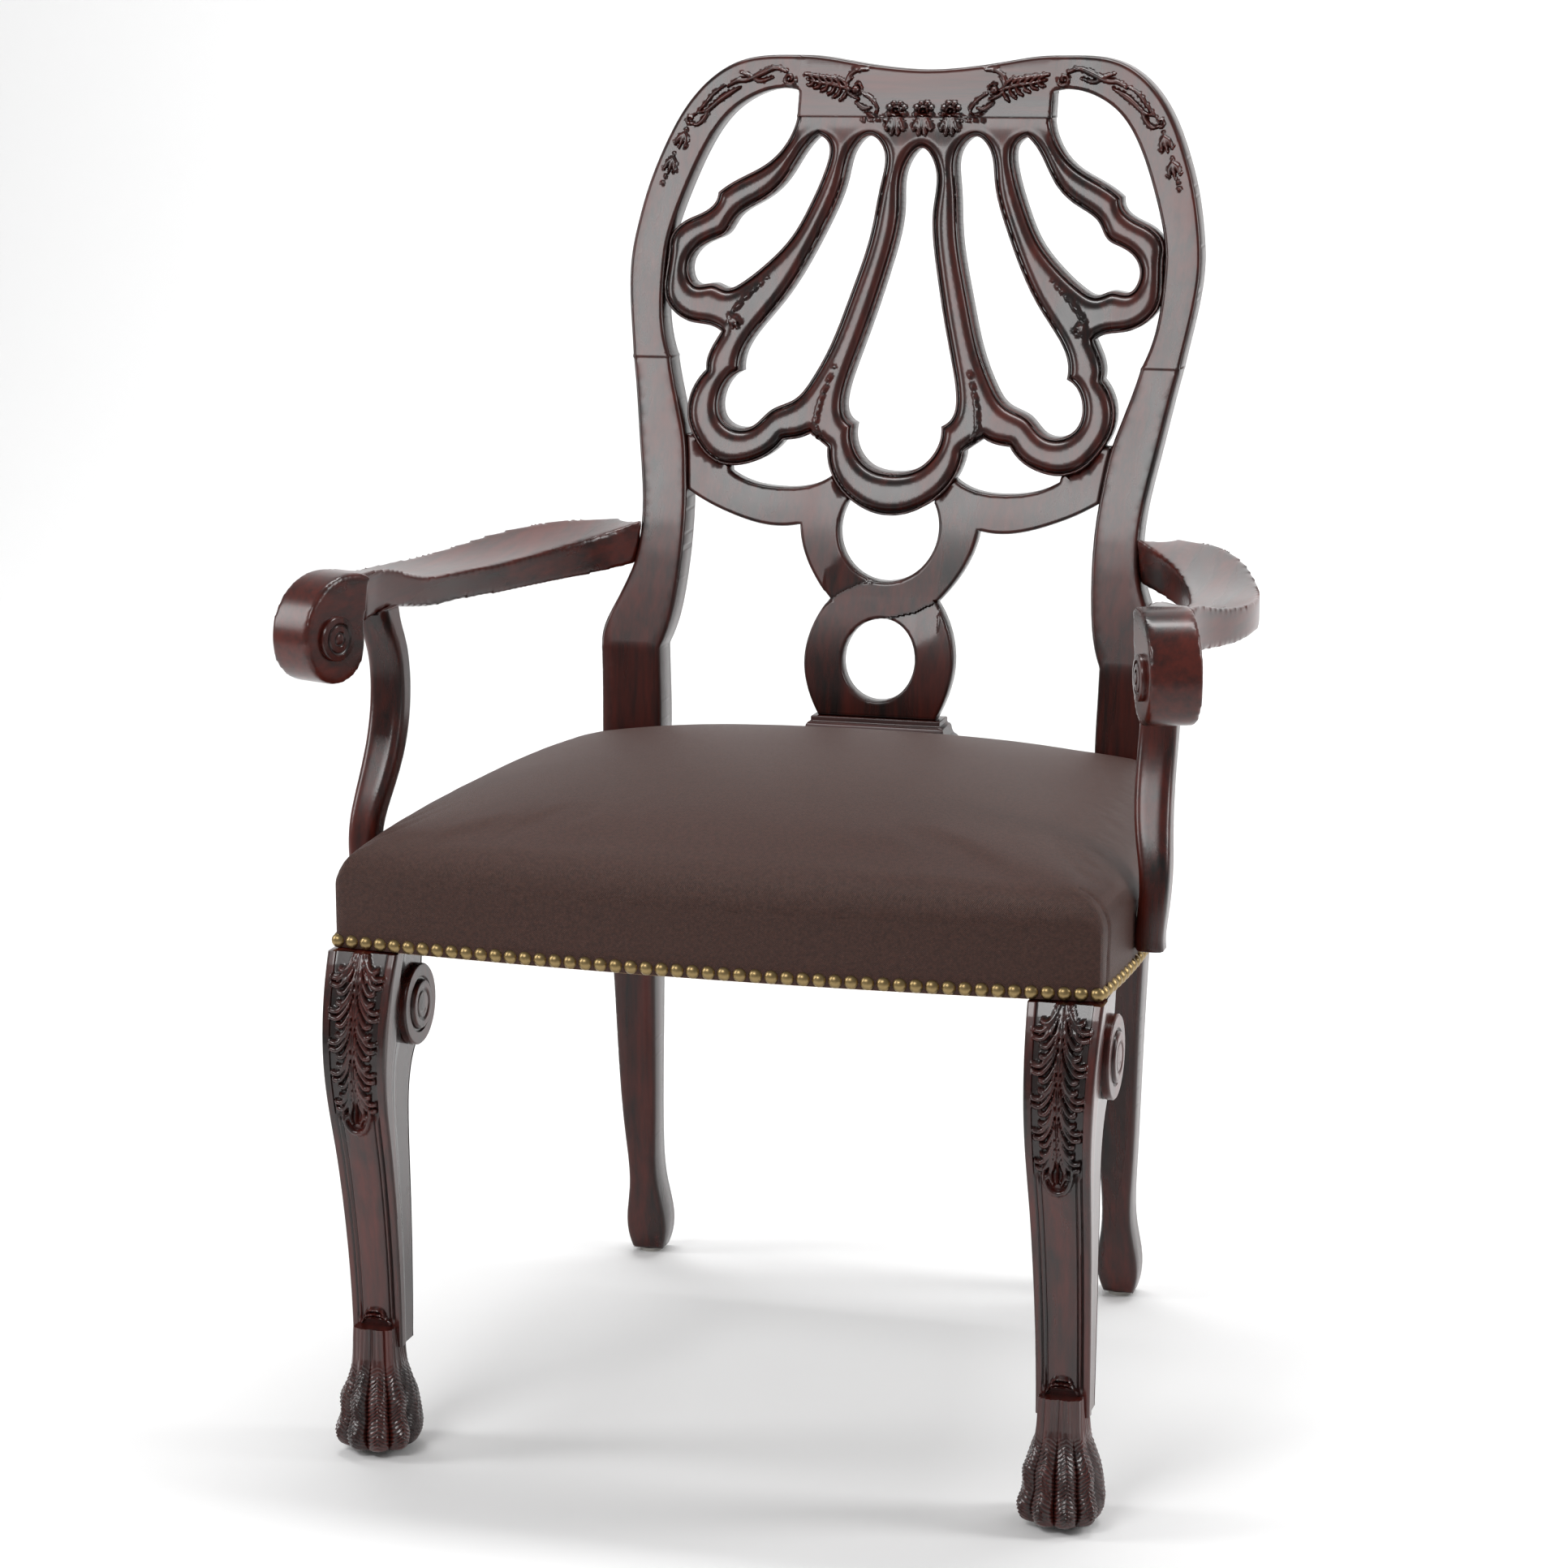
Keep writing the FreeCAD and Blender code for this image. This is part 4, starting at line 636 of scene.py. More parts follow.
def carved(ornament):
    """The rule for a flat board with eased edges and ornament on its face."""
    def carve(points, gap):
        lift, painted_shade = raised(points, ornament)
        # The ornament's painted shade, with painted shade along the eased edges.
        return lift - eased(gap, 0.003), np.maximum(painted_shade, edge_painted_shade(gap))
    return carve


for side, sign in (("left", -1), ("right", 1)):
    low, high = sorted((sign * 0.1127, sign * 0.235))
    board("hoop_" + side, "hoop_shoulder_" + side, wood_upright, -1, 0.003, carved(HOOP_ORNAMENT),
          lambda x, z: post_glued(x, z) or crest_end_glued(x, z), fine=(low, high, 0.93, 1.045, 0.0011))

LEAF_FINGERS = ((0, 0), (1, 4.5), (2, 9), (3, 14), (4, 19), (5, 24))
CREST_ORNAMENT = (
    curl(61, 1021, 9.5, 60, -1.0, 1.5, 2.6)
    + stroke([(52, 1036), (64, 1034), (70, 1026), (67, 1016), (58, 1011)], [1.2, 1.8, 2.0, 1.8, 1.2], 2.6)
    + stroke([(60, 1008), (53, 1003), (47, 1004)], [1.6, 2.4, 1.0], 2.4)
    + stroke([(55, 1016), (47, 1011), (41, 1003), (43, 998)], [1.2, 1.8, 1.6, 0.9], 2.4)
    + stroke([(50, 999.5), (44, 996), (40, 994.5), (36, 996)], [1.0, 1.6, 1.4, 1.0], 2.0)
    + stroke([(66, 1019), (80, 1023), (94, 1025), (106, 1028)], [1.4, 2.0, 1.7, 0.8], 3.4)
)
for index, along in LEAF_FINGERS:
    stem = np.array([68 + along * 1.25, 1020 + along * 0.28])
    up = stem + np.array([9.5, 9.0 - index * 0.7])
    down = stem + np.array([6.5, -10.0 + index * 1.2])
    CREST_ORNAMENT += stroke([stem, (stem + up) / 2 + np.array([0, 1.6]), up], [0.9, 1.9, 1.3], 3.0)
    CREST_ORNAMENT += stroke([stem, (stem + down) / 2 + np.array([-0.5, -1.4]), down], [0.9, 1.9, 1.3], 3.0)
ROSETTES = (-24, 0, 24)
for x in ROSETTES:
    ring = [(x + 3.7 * math.cos(a), 1001 + 3.7 * math.sin(a)) for a in np.linspace(0, 2 * math.pi, 17)]
    CREST_ORNAMENT += stroke(ring, [1.0, 1.0], 3.6, both=False)
    CREST_ORNAMENT += stroke([(x, 1001), (x + 0.1, 1001)], [1.5, 1.5], 3.4, both=False)
    for petal in range(8):
        angle = math.radians(22.5 + petal * 45)
        spot = (x + 6.9 * math.cos(angle), 1001 + 6.9 * math.sin(angle))
        CREST_ORNAMENT += stroke([spot, (spot[0] + 0.1, spot[1])], [2.5, 2.5], 2.4, both=False)
CREST_ORNAMENT += stroke([(61, 1019), (61.1, 1019)], [3.6, 3.6], 5.0)

board("crest", "crest_rail", wood_across, -1, 0.003, carved(CREST_ORNAMENT),
      lambda x, z: crest_end_glued(x, z) or shell_glued(x, z), fine=(-0.112, 0.112, 0.9965, 1.036, 0.0011))

SHELL_ORNAMENT = []
for x, z, lean, size, line in (
    (71, 738, -6, 0.8, [(71, 741), (68, 760), (59, 787)]),
    (156, 829, -32, 0.8, [(153, 832), (141, 846), (124, 862)]),
):
    SHELL_ORNAMENT += husk(x, z, lean, size)
    SHELL_ORNAMENT += stroke(line, [1.6, 1.1, 0.4], 1.6)
for x in ROSETTES:
    for spread in (-6, -2.2, 2.2, 6):
        tip = (x + spread * 1.2, 985.5 - (3.5 if abs(spread) < 3 else 0))
        flick = (tip[0] + math.copysign(1.4, spread), tip[1] + 1.6)
        SHELL_ORNAMENT += stroke([(x + spread * 0.6, 995.5), (x + spread, 990), tip, flick],
                                 [2.2, 2.9, 1.9, 1.0], 3.0, both=False)
for x in (34, 40, 46, 52):
    SHELL_ORNAMENT += stroke([(x, 993 + (x - 34) * 0.1), (x + 0.1, 993)], [1.7, 1.7], 1.8)

# The bead's radius, how far in the groove inside it ends and how deep it is, and how far the rib reaches
# in from there and how high it rises.
BEAD = 0.0013
GROOVE = 0.0032
GROOVE_DEEP = 0.0026
RIB_REACH = 0.0078
RIB_RISE = 0.0056


def carve_shell(points, gap):
    """A bead along every edge, a groove inside it, and a rounded rib that dies into the crest, with painted
    shade in the groove, on the rib's flanks and at the very edge.
    """
    bead = np.sqrt(np.clip(BEAD ** 2 - (gap - BEAD) ** 2, 0, None)) - 0.0022
    share = np.clip((gap - GROOVE) / RIB_REACH, 0, 1)
    rib = -GROOVE_DEEP + RIB_RISE * np.sqrt(1 - (1 - share) ** 2)
    ribbed = np.where(gap < 2 * BEAD, bead, np.where(gap < GROOVE, -GROOVE_DEEP, rib))
    fade = np.clip((points[:, 1] - 0.968) / 0.022, 0, 1)
    fade = fade ** 2 * (3 - 2 * fade)
    flat = np.where(gap < 2 * BEAD, bead, np.where(gap < GROOVE + 0.001, -0.0014, 0.0015))
    lift = ribbed * (1 - fade) + flat * fade
    ornament, dark = raised(points, SHELL_ORNAMENT)
    # Painted shade: darkest in the groove, lighter on the flanks of the rib above the crest's fade, and dark
    # right at the edge.
    groove = np.clip(1 - np.abs(gap - 0.0028) / 0.0016, 0, 1)
    flank = np.clip(0.62 - np.abs(gap - 0.0068) / 0.008, 0, 0.62) * 0.5
    painted_shade = np.maximum(np.maximum(groove, flank * (1 - fade)), 0.8 * (gap < 0.0006))
    return lift + ornament, np.maximum(painted_shade, dark)


board("shell_splat", "splat_shell", wood_upright, -1, 0.002, carve_shell, shell_glued,
      rings=(0.0006, 0.0013, 0.002, 0.0026, 0.0032, 0.0038, 0.0048, 0.006, 0.0075, 0.009), spacing=0.0021,
      fine=(-0.062, 0.062, 0.972, 0.9955, 0.0012), step=0.0016)

# One strap passes over the other where they cross, between two cut lines.
OVER_TOP = np.array([(0, 612), (-20, 610.5), (-38, 602), (-50, 591)]) / 1000
OVER_FOOT = np.array([(48, 598), (30, 588), (10, 583), (0, 581)]) / 1000
UNDER_RUN = 0.03
UNDER_DROP = 0.0028


def carve_straps(points, gap):
    """Eased edges, with the strap that goes under sunk beside each cut line, painted shade along the edges
    and a painted shadow line along each cut.
    """
    lift = -eased(gap, 0.0022)
    painted_shade = edge_painted_shade(gap, 0.7)
    x, z = points.T
    for line, above in ((OVER_TOP, True), (OVER_FOOT, False)):
        order = np.argsort(line[:, 0])
        cut = np.interp(x, line[order, 0], line[order, 1])
        within = (x > line[:, 0].min() - 0.002) & (x < line[:, 0].max() + 0.002)
        beyond = (z - cut) if above else (cut - z)
        under = within & (beyond > 0) & (beyond < UNDER_RUN)
        drop = UNDER_DROP * np.clip(1 - beyond / UNDER_RUN, 0, 1)
        lift = np.where(under, lift - drop, lift)
        # A painted shadow line along each cut line.
        painted_shade = np.where(within, np.maximum(painted_shade, np.clip(1 - np.abs(beyond) / 0.0035, 0, 1)), painted_shade)
    return lift, painted_shade


board("interlaced_straps", "splat_strapwork", wood_upright, 1, 0.0022, carve_straps, spacing=0.005,
      fine=(-0.056, 0.056, 0.572, 0.624, 0.0014))

# ---- The front legs: cabriole legs with an acanthus knee, a sunk panel and a hairy paw. ----
# Each is one piece of mahogany, sawn to its curve. The leaf is carved on a sunk ground between plain
# margins; below it a panel runs down between beads to an arched cuff, out of which the paw grows.

LEG_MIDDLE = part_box("glide_front_right")[0].lerp(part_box("glide_front_right")[1], 0.5)
LEG_FOOT = 0.083
PAW_TOP = 0.0885
LEG_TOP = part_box("front_leg_right")[1].z
KNEE_TOP = 0.3955
RELIEF_HALF = 0.64
CUFF_RISE = 0.012

ACANTHUS = stroke([(0, 394), (0, 330), (0, 268)], [1.8, 1.3, 1.0], 3.2, both=False)
for lobe in range(5):
    base = 386 - 23.5 * lobe
    for finger, far in enumerate((14.0, 19.4, 18.6, 13.2)):
        reach = far - 1.1 * lobe * far / 18
        tip = np.array([reach, base - 5.4 * finger - 3])
        root = np.array([1.2, tip[1] + 26 - 2.0 * finger])
        bend = np.array([0.30 * reach, tip[1] + 9.0])
        belly = np.array([0.68 * reach, tip[1] + 0.4])
        hook = tip + np.array([1.2, 1.6])
        ACANTHUS += stroke([root, bend, belly, tip, hook], [0.7, 1.5, 2.2, 2.3, 1.0], 3.3 - 0.25 * finger)
for out in (2.4, 4.9, 7.6, 10.4):
    ACANTHUS += stroke([(out * 0.5, 396), (out * 0.8, 386), (out * 1.5, 375)], [0.9, 1.3, 0.9], 3.0)
ACANTHUS += stroke([(10.2, 281), (9.4, 269), (5.2, 261.5), (0, 259.6)], [1.0, 1.9, 2.3, 2.8], 3.6)
ACANTHUS += stroke([(4.0, 286), (5.4, 275), (3.2, 267)], [0.8, 1.9, 1.2], 2.5)
CAPITAL = (
    stroke([(11.5, 99), (8.5, 103), (0, 105)], [1.0, 1.5, 1.5], 2.4)
    + stroke([(9.5, 103.5), (6.8, 107.4), (0, 109)], [0.9, 1.4, 1.4], 3.0)
    + stroke([(7.6, 109), (5, 111.8), (0, 112.6)], [0.9, 1.2, 1.2], 3.4)
)


def front_relief(u, z, half):
    """The carving of the leg's front face, from the place across it and its half width, with its painted
    shade.
    """
    share = np.abs(u) / half
    sunk = np.clip((z - 0.270) / 0.006, 0, 1)
    inside = np.clip((RELIEF_HALF + 0.13 - share) / 0.03, 0, 1)
    ground = -0.0016 * inside * sunk
    bead = 0.0009 * np.sqrt(np.clip(1 - ((share - RELIEF_HALF) / 0.045) ** 2, 0, 1))
    groove = -0.0011 * np.exp(-((share - RELIEF_HALF - 0.085) / 0.032) ** 2)
    inner_groove = -0.0008 * np.exp(-((share - RELIEF_HALF + 0.085) / 0.03) ** 2)
    field = 0.0013 * np.clip(1 - (share / (RELIEF_HALF - 0.08)) ** 2, 0, 1) ** 0.6
    panel = np.clip((z - 0.1) / 0.006, 0, 1) * (1 - sunk)
    plain = (bead + groove + inner_groove + field) * panel
    ornament, dark = raised(np.column_stack([u, z]), ACANTHUS + CAPITAL)
    # Painted shade: dark lines in the grooves beside the bead, shade toward the panel's edges, a dark sunk
    # ground round the leaves and the leaves' own painted shade.
    lines = np.maximum(np.exp(-((share - RELIEF_HALF - 0.085) / 0.05) ** 2),
                       0.8 * np.exp(-((share - RELIEF_HALF + 0.085) / 0.05) ** 2)) * panel
    shadow = np.clip((share - 0.25) / 0.5, 0, 0.35) * panel * (share < RELIEF_HALF)
    low_ground = 0.85 * inside * sunk * (ornament < 0.0004)
    leaf = dark * np.clip(inside * sunk + (z < 0.115), 0, 1)
    return ground + plain + ornament, np.maximum.reduce([lines, shadow, low_ground, leaf])


def cad_section(tree, middle, z):
    """The inner, outer, front and rear limits of an upright piece at one height."""
    front = tree.ray_cast(Vector((middle, -2, z)), Vector((0, 1, 0)))[0].y
    rear = tree.ray_cast(Vector((middle, 2, z)), Vector((0, -1, 0)))[0].y
    halfway = (front + rear) / 2
    inner = tree.ray_cast(Vector((0, halfway, z)), Vector((math.copysign(1, middle), 0, 0)))[0].x
    outer = tree.ray_cast(Vector((middle * 3, halfway, z)), Vector((-math.copysign(1, middle), 0, 0)))[0].x
    return inner, outer, front, rear


def bands(rows, count):
    """The faces between rings of points, each ring joined to the next."""
    faces = []
    for row in range(0, (rows - 1) * count, count):
        for i in range(count):
            after = (i + 1) % count
            faces.append((row + i, row + after, row + count + after, row + count + i))
    return faces


def tube(rows, count):
    """The faces of a closed tube of rings, with a cap at each end."""
    return bands(rows, count) + [tuple(range(count))[::-1], tuple(range((rows - 1) * count, rows * count))]


# Where the columns of points lie across the front face, closer together toward its edges.
FRONT_COLUMNS = np.sin(np.linspace(-1, 1, 73) * math.pi / 2 * 0.55) / math.sin(math.pi / 2 * 0.55)
ARRIS = 0.0016


def leg_shaft(sign):
    """The leg from its cuff up to the block under the arm, row by row, with its relief on the front and
    painted shade on its front edges, sides and back.
    """
    tree = cad_tree("front_leg_right")
    points = []
    painted_shades = []
    block_rows = np.linspace(KNEE_TOP + 0.0005, LEG_TOP - 0.001, 12)
    rows = np.append(np.arange(LEG_FOOT, KNEE_TOP, 0.0010), block_rows)
    side_shares = np.linspace(0, 1, 25)
    rear_shares = np.linspace(0.94, -0.94, 12)
    for z in rows:
        inner, outer, front, rear = cad_section(tree, LEG_MIDDLE.x, min(max(z, PAW_TOP), LEG_TOP - 0.002))
        hidden = z > KNEE_TOP
        if hidden:
            inner, outer, front, rear = inner + 0.003, outer - 0.007, front + 0.008, rear - 0.001
        half = (outer - inner) / 2
        middle = (outer + inner) / 2
        u = FRONT_COLUMNS * half
        relief = dark = np.zeros(len(u))
        if not hidden:
            relief, dark = front_relief(u, np.full(len(u), z), half)
        arch = np.clip(1 - (z - LEG_FOOT) / 0.024, 0, 1)
        rise = CUFF_RISE * arch * np.sqrt(np.clip(1 - (u / (0.66 * half)) ** 2, 0, 1))
        arris = eased(half - np.abs(u), ARRIS)
        ring = [(middle + a, front - r + e, z + s) for a, r, e, s in zip(u, relief, arris, rise)]
        # Painted shade: the carving's, and darkening along the front face's edges.
        dim = list(np.maximum(dark, np.clip(0.45 - (half - np.abs(u)) / 0.004, 0, 0.45)))
        deep = rear - front
        strips = []
        for way in (1, -1):
            strip = []
            for share in side_shares:
                away = deep * share
                step = 0 if hidden else 0.0014 * np.clip((share - 0.36) / 0.03, 0, 1)
                cut = 0 if hidden else 0.0012 * math.exp(-((share - 0.345) / 0.022) ** 2)
                ease = eased(min(away, deep - away), ARRIS)
                x = middle + way * (half - step - cut - ease)
                strip.append((x, front + ARRIS * 0.6 + away * 0.985, z))
            strips.append(strip)
        # Painted shade on the sides: none at the front, dark in the cut step, then a half shade back to the
        # rear, which is painted a little dark too.
        shade = [0.0 if s < 0.3 else (0.95 if s < 0.42 else 0.35) for s in side_shares]
        ring += strips[0] + [(middle + half * b, rear, z) for b in rear_shares] + strips[1][::-1]
        dim += shade + [0.3] * len(rear_shares) + shade[::-1]
        points.append(ring)
        painted_shades.append(dim)
    faces = tube(len(points), len(points[0]))
    solid = np.array(points).reshape(-1, 3)
    solid[:, 0] *= sign
    if sign < 0:
        faces = [face[::-1] for face in faces]
    return solid, faces, np.array(painted_shades).ravel()


TOE_ANGLES = np.radians([-52, -17.5, 17.5, 52])
# The paw's radius at some heights up it, in millimetres.
PAW_HEIGHTS = [3, 5, 8, 13, 20, 28, 36, 46, 56, 66, 76, 86, 100]
PAW_RADII = [23, 27, 29.3, 31.0, 31.6, 30.6, 29.6, 28.0, 24.6, 21.6, 19.8, 18.8, 18.0]


def paw(sign):
    """A hairy paw: four toes in front, a broad heel behind, tendons at the ankle, with painted shade between
    the toes, in the troughs of the fur and at its foot.
    """
    heights = np.concatenate([np.linspace(0.0032, 0.012, 14), np.arange(0.0127, 0.1, 0.0007)])
    angles = np.linspace(-math.pi, math.pi, 281)[:-1]
    outline_z = np.array(PAW_HEIGHTS) / 1000
    outline_r = np.array(PAW_RADII) / 1000
    points = []
    painted_shades = []
    for z in heights:
        radius = np.interp(z, outline_z, outline_r)
        toes = np.clip(1.12 - np.abs(z - 0.022) / 0.06, 0.22, 1)
        low = np.clip((z - 0.004) / 0.008, 0, 1)
        ahead = np.clip((np.cos(angles) + 0.12) / 0.35, 0, 1)
        near = np.min(np.abs(angles[:, None] - TOE_ANGLES[None, :]), axis=1)
        lobe = np.sqrt(np.clip(1 - (near / math.radians(18.2)) ** 2, 0, 1))
        knuckle = 0.0026 * math.exp(-((z - 0.047) / 0.0095) ** 2)
        knuckle += 0.0024 * math.exp(-((z - 0.0175) / 0.0085) ** 2)
        waist = 0.0012 * math.exp(-((z - 0.0325) / 0.006) ** 2)
        bulge = (-0.0066 + (0.0088 + knuckle - waist) * lobe) * toes * ahead
        bulge += 0.0022 * np.clip(-np.cos(angles), 0, 1) * np.clip(1 - abs(z - 0.03) / 0.035, 0, 1)
        side = np.where(np.abs(angles) > TOE_ANGLES[3], 0.0006 * np.cos(angles * 9), 0)
        along = near * radius
        lean = 0.75 * along + z
        fur = np.sin(2 * math.pi * lean / 0.0031 + 0.8 * np.sin(angles * 23 + z * 300))
        hair = np.clip((0.073 - z) / 0.012, 0, 1) * np.clip((z - 0.007) / 0.006, 0, 1)
        strands = np.sin(angles * 34) * 0.0004 * np.clip((z - 0.066) / 0.01, 0, 1)
        claw = 0.0018 * np.exp(-((z - 0.0085) / 0.0035) ** 2) * np.exp(-(near / 0.16) ** 2) * (ahead > 0.5)
        base = 0.0045 * np.clip((0.0062 - z) / 0.003, 0, 1)
        reach = radius + bulge * (0.35 + 0.65 * low) + side + fur * 0.0006 * hair + strands + claw - base
        square = 1 - 0.1 * np.cos(4 * angles) * np.clip((z - 0.06) / 0.03, 0, 1)
        reach = reach * square
        points.append(np.column_stack([
            LEG_MIDDLE.x + reach * np.sin(angles),
            LEG_MIDDLE.y - 0.0005 - reach * np.cos(angles) * 0.96,
            np.full(len(angles), z),
        ]))
        # Painted shade between the toes, in the troughs of the fur and round the bottom near the floor.
        cleft = np.clip(1 - lobe / 0.5, 0, 1) * ahead * toes
        painted_shades.append(np.clip(np.maximum(cleft, 0.8 * hair * (fur < 0.0)) + 0.6 * (z < 0.007), 0, 1))
    count = len(angles)
    tips = [[LEG_MIDDLE.x, LEG_MIDDLE.y, z] for z in heights[[0, -1]]]
    solid = np.vstack(points + [np.array(tips)])
    solid[:, 0] *= sign
    faces = bands(len(heights), count)
    last = (len(heights) - 1) * count
    for column in range(count):
        after = (column + 1) % count
        faces.append((after, column, len(solid) - 2))
        faces.append((last + column, last + after, len(solid) - 1))
    if sign < 0:
        faces = [face[::-1] for face in faces]
    return solid, faces, np.concatenate(painted_shades + [[0.5, 0.5]])


leg_wood = lacquered("mahogany_legs", UPRIGHT, light=(0.085, 0.0105, 0.0062, 1), coat=0.45)
for side, sign in (("left", -1), ("right", 1)):
    solid, faces, painted_shade = leg_shaft(sign)
    finish_piece("front_leg_" + side + "_shaft", solid, faces, leg_wood,
                 ["front_leg_" + side], painted_shade)
    solid, faces, painted_shade = paw(sign)
    finish_piece("front_paw_" + side, solid, faces, leg_wood, ["front_leg_" + side], painted_shade)

# ---- The knee volutes: discs glued to both sides of each knee. ----
# Turned mahogany discs: a flat outer band, a cut step, and a raised inner disc with a small hooked end.

VOLUTE_LOW, VOLUTE_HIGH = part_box("knee_volutes_right")
VOLUTE_THICK = 0.0082
VOLUTE_PROFILE = [(31, 0), (31, 5.2), (30.2, 6.0), (21.5, 6.0), (20.4, 4.6), (19.2, 4.6), (18.4, 7.4),
                  (17.2, 8.2), (12.6, 8.2), (11.6, 7.2), (10.6, 7.2), (9.8, 7.9), (3, 8.2), (0.05, 8.2)]


def lathe(centre, axis, profile, cuts, rounds=96):
    """A turned piece: a profile of radius and height in millimetres spun about an axis, with cuts in it."""
    axis = Vector(axis).normalized()
    across = axis.cross(Vector((0, 0, 1))).normalized()
    up = across.cross(axis)
    points = []
    dim = []
    spots = []
    for (r0, h0), (r1, h1) in zip(profile, profile[1:]):
        steps = max(1, int(math.hypot(r1 - r0, h1 - h0) / 1.0))
        spots += [(r0 + (r1 - r0) * i / steps, h0 + (h1 - h0) * i / steps) for i in range(steps)]
    spots.append(profile[-1])
    for r, h in spots:
        for turn in range(rounds):
            angle = 2 * math.pi * turn / rounds
            flat = (r * math.cos(angle), r * math.sin(angle))
            extra, shade = cuts(flat)
            points.append(centre + (across * flat[0] + up * flat[1] + axis * (h + extra)) / 1000)
            dim.append(shade)
    return points, tube(len(spots), rounds), np.array(dim)


def volute_hook(spot):
    """Painted shade in the cut steps, and a little sunk hook near the middle, painted dark too."""
    r = math.hypot(*spot)
    cut = max(math.exp(-((r - 19.8) / 1.3) ** 2), 0.8 * math.exp(-((r - 11.1) / 1.0) ** 2))
    angle = math.atan2(spot[1], spot[0])
    hook = math.exp(-((r - 5.5) / 0.8) ** 2) * (-2.3 < angle < -0.7)
    return -0.5 * hook, max(cut, 0.7 * hook)


for side, sign in (("left", -1), ("right", 1)):
    for name, way, edge in (("outer", sign, VOLUTE_HIGH.x), ("inner", -sign, VOLUTE_LOW.x)):
        centre = Vector((
            sign * edge - way * VOLUTE_THICK,
            (VOLUTE_LOW.y + VOLUTE_HIGH.y) / 2,
            (VOLUTE_LOW.z + VOLUTE_HIGH.z) / 2,
        ))
        solid, faces, painted_shade = lathe(centre, (way, 0, 0), VOLUTE_PROFILE, volute_hook)
        finish_piece("knee_volute_" + name + "_" + side, solid, faces, wood_upright,
                     ["knee_volutes_" + side], painted_shade)

# ---- The arms and their supports: shaped mahogany, screwed and dowelled. ----
# Each arm is bandsawn to its sweep, dished by hand and rounded over; its scrolled end carries a spiral.
# The support stands on the outside of the side rail and is let into the arm.


def smoothed(name, node, voxel, passes, material):
    """The CAD piece with its edges worn round, as polishing leaves them."""
    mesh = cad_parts[node].data.copy()
    piece = bpy.data.objects.new(name, mesh)
    bpy.context.scene.collection.objects.link(piece)
    remesh = piece.modifiers.new("remesh", "REMESH")
    remesh.mode = "VOXEL"
    remesh.voxel_size = voxel
    soften = piece.modifiers.new("soften", "SMOOTH")
    soften.factor = 0.6
    soften.iterations = passes
    made = bpy.data.meshes.new_from_object(piece.evaluated_get(bpy.context.evaluated_depsgraph_get()))
    piece.modifiers.clear()
    piece.data = made
    made.shade_smooth()
    made.materials.clear()
    made.materials.append(material)
    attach(piece, "root")
    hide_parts(node)
    return piece


SCROLL_TURN = math.radians(22)
SCROLL_RADIUS = 0.0235
SCROLL_Y = -0.2605
SCROLL_Z = 0.6212
EYE_SUNK = 0.002
EYE_PROFILE = [(17, 0), (17, 4.6), (16.3, 5.6), (12.6, 6.0), (11.6, 5.0), (10.6, 5.0),
               (9.8, 6.1), (6.0, 6.4), (5.2, 5.4), (4.4, 5.4), (3.6, 6.4), (0.05, 6.8)]


def eye_cuts(spot):
    """Painted shade in the two cut rings of a scroll's eye."""
    r = math.hypot(*spot)
    return 0, max(math.exp(-((r - 11.1) / 1.0) ** 2), math.exp(-((r - 4.8) / 0.8) ** 2))


for side, sign in (("left", -1), ("right", 1)):
    smoothed("arm_" + side + "_shaped", "arm_" + side, 0.0019, 7, wood_along)
    smoothed("arm_support_" + side + "_shaped", "arm_support_" + side, 0.0015, 6, wood_upright)
    inward = Vector((-sign * math.cos(SCROLL_TURN), -math.sin(SCROLL_TURN), 0))
    middle = Vector((sign * (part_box("arm_right")[1].x - SCROLL_RADIUS), SCROLL_Y, SCROLL_Z))
    hit = cad_tree("arm_" + side).ray_cast(middle + inward * 0.1, -inward)[0]
    solid, faces, painted_shade = lathe(hit - inward * EYE_SUNK, inward, EYE_PROFILE, eye_cuts)
    finish_piece("arm_scroll_eye_" + side, solid, faces, wood_upright, ["arm_" + side], painted_shade)

# ---- The shoe: the block under the straps, moulded on its front and ends. ----
# Mahogany, glued and pinned to the rear rail. Its cap steps in to a narrow flat that the splat stands on.

SHOE_LOW, SHOE_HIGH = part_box("splat_shoe")
SHOE_PROFILE = [(0, 0), (0, 31), (0.4, 33.4), (1.6, 34.6), (3.0, 35.2), (4.4, 36.4), (5.6, 39),
                (6.2, 42), (7.4, 43.6), (9.2, 44.2), (9.8, 45.4), (9.8, 48.2), (10.2, 48.8), (11, 49)]


def shoe():
    """The block ring by ring up its moulding. Its back stays flat against the rail."""
    points = []
    for inset, up in SHOE_PROFILE:
        step = inset / 1000
        z = SHOE_LOW.z + up / 1000
        x = SHOE_HIGH.x - step
        front = SHOE_LOW.y + step * 0.8
        across = np.linspace(-x, x, 45)
        points += [(a, front, z) for a in across] + [(a, SHOE_HIGH.y, z) for a in across[::-1]]
    return points, tube(len(SHOE_PROFILE), len(points) // len(SHOE_PROFILE))


solid, faces = shoe()
finish_piece("moulded_shoe", solid, faces, wood_across, ["splat_shoe"])

# ---- The seat frame: rails, corner blocks, dowels and screws, hidden by the cover. ----
# Kiln-dried beech rails dowelled to the legs, with blocks glued and screwed in the corners. They keep
# the CAD shapes and only take plain timber, steel and plastic finishes.


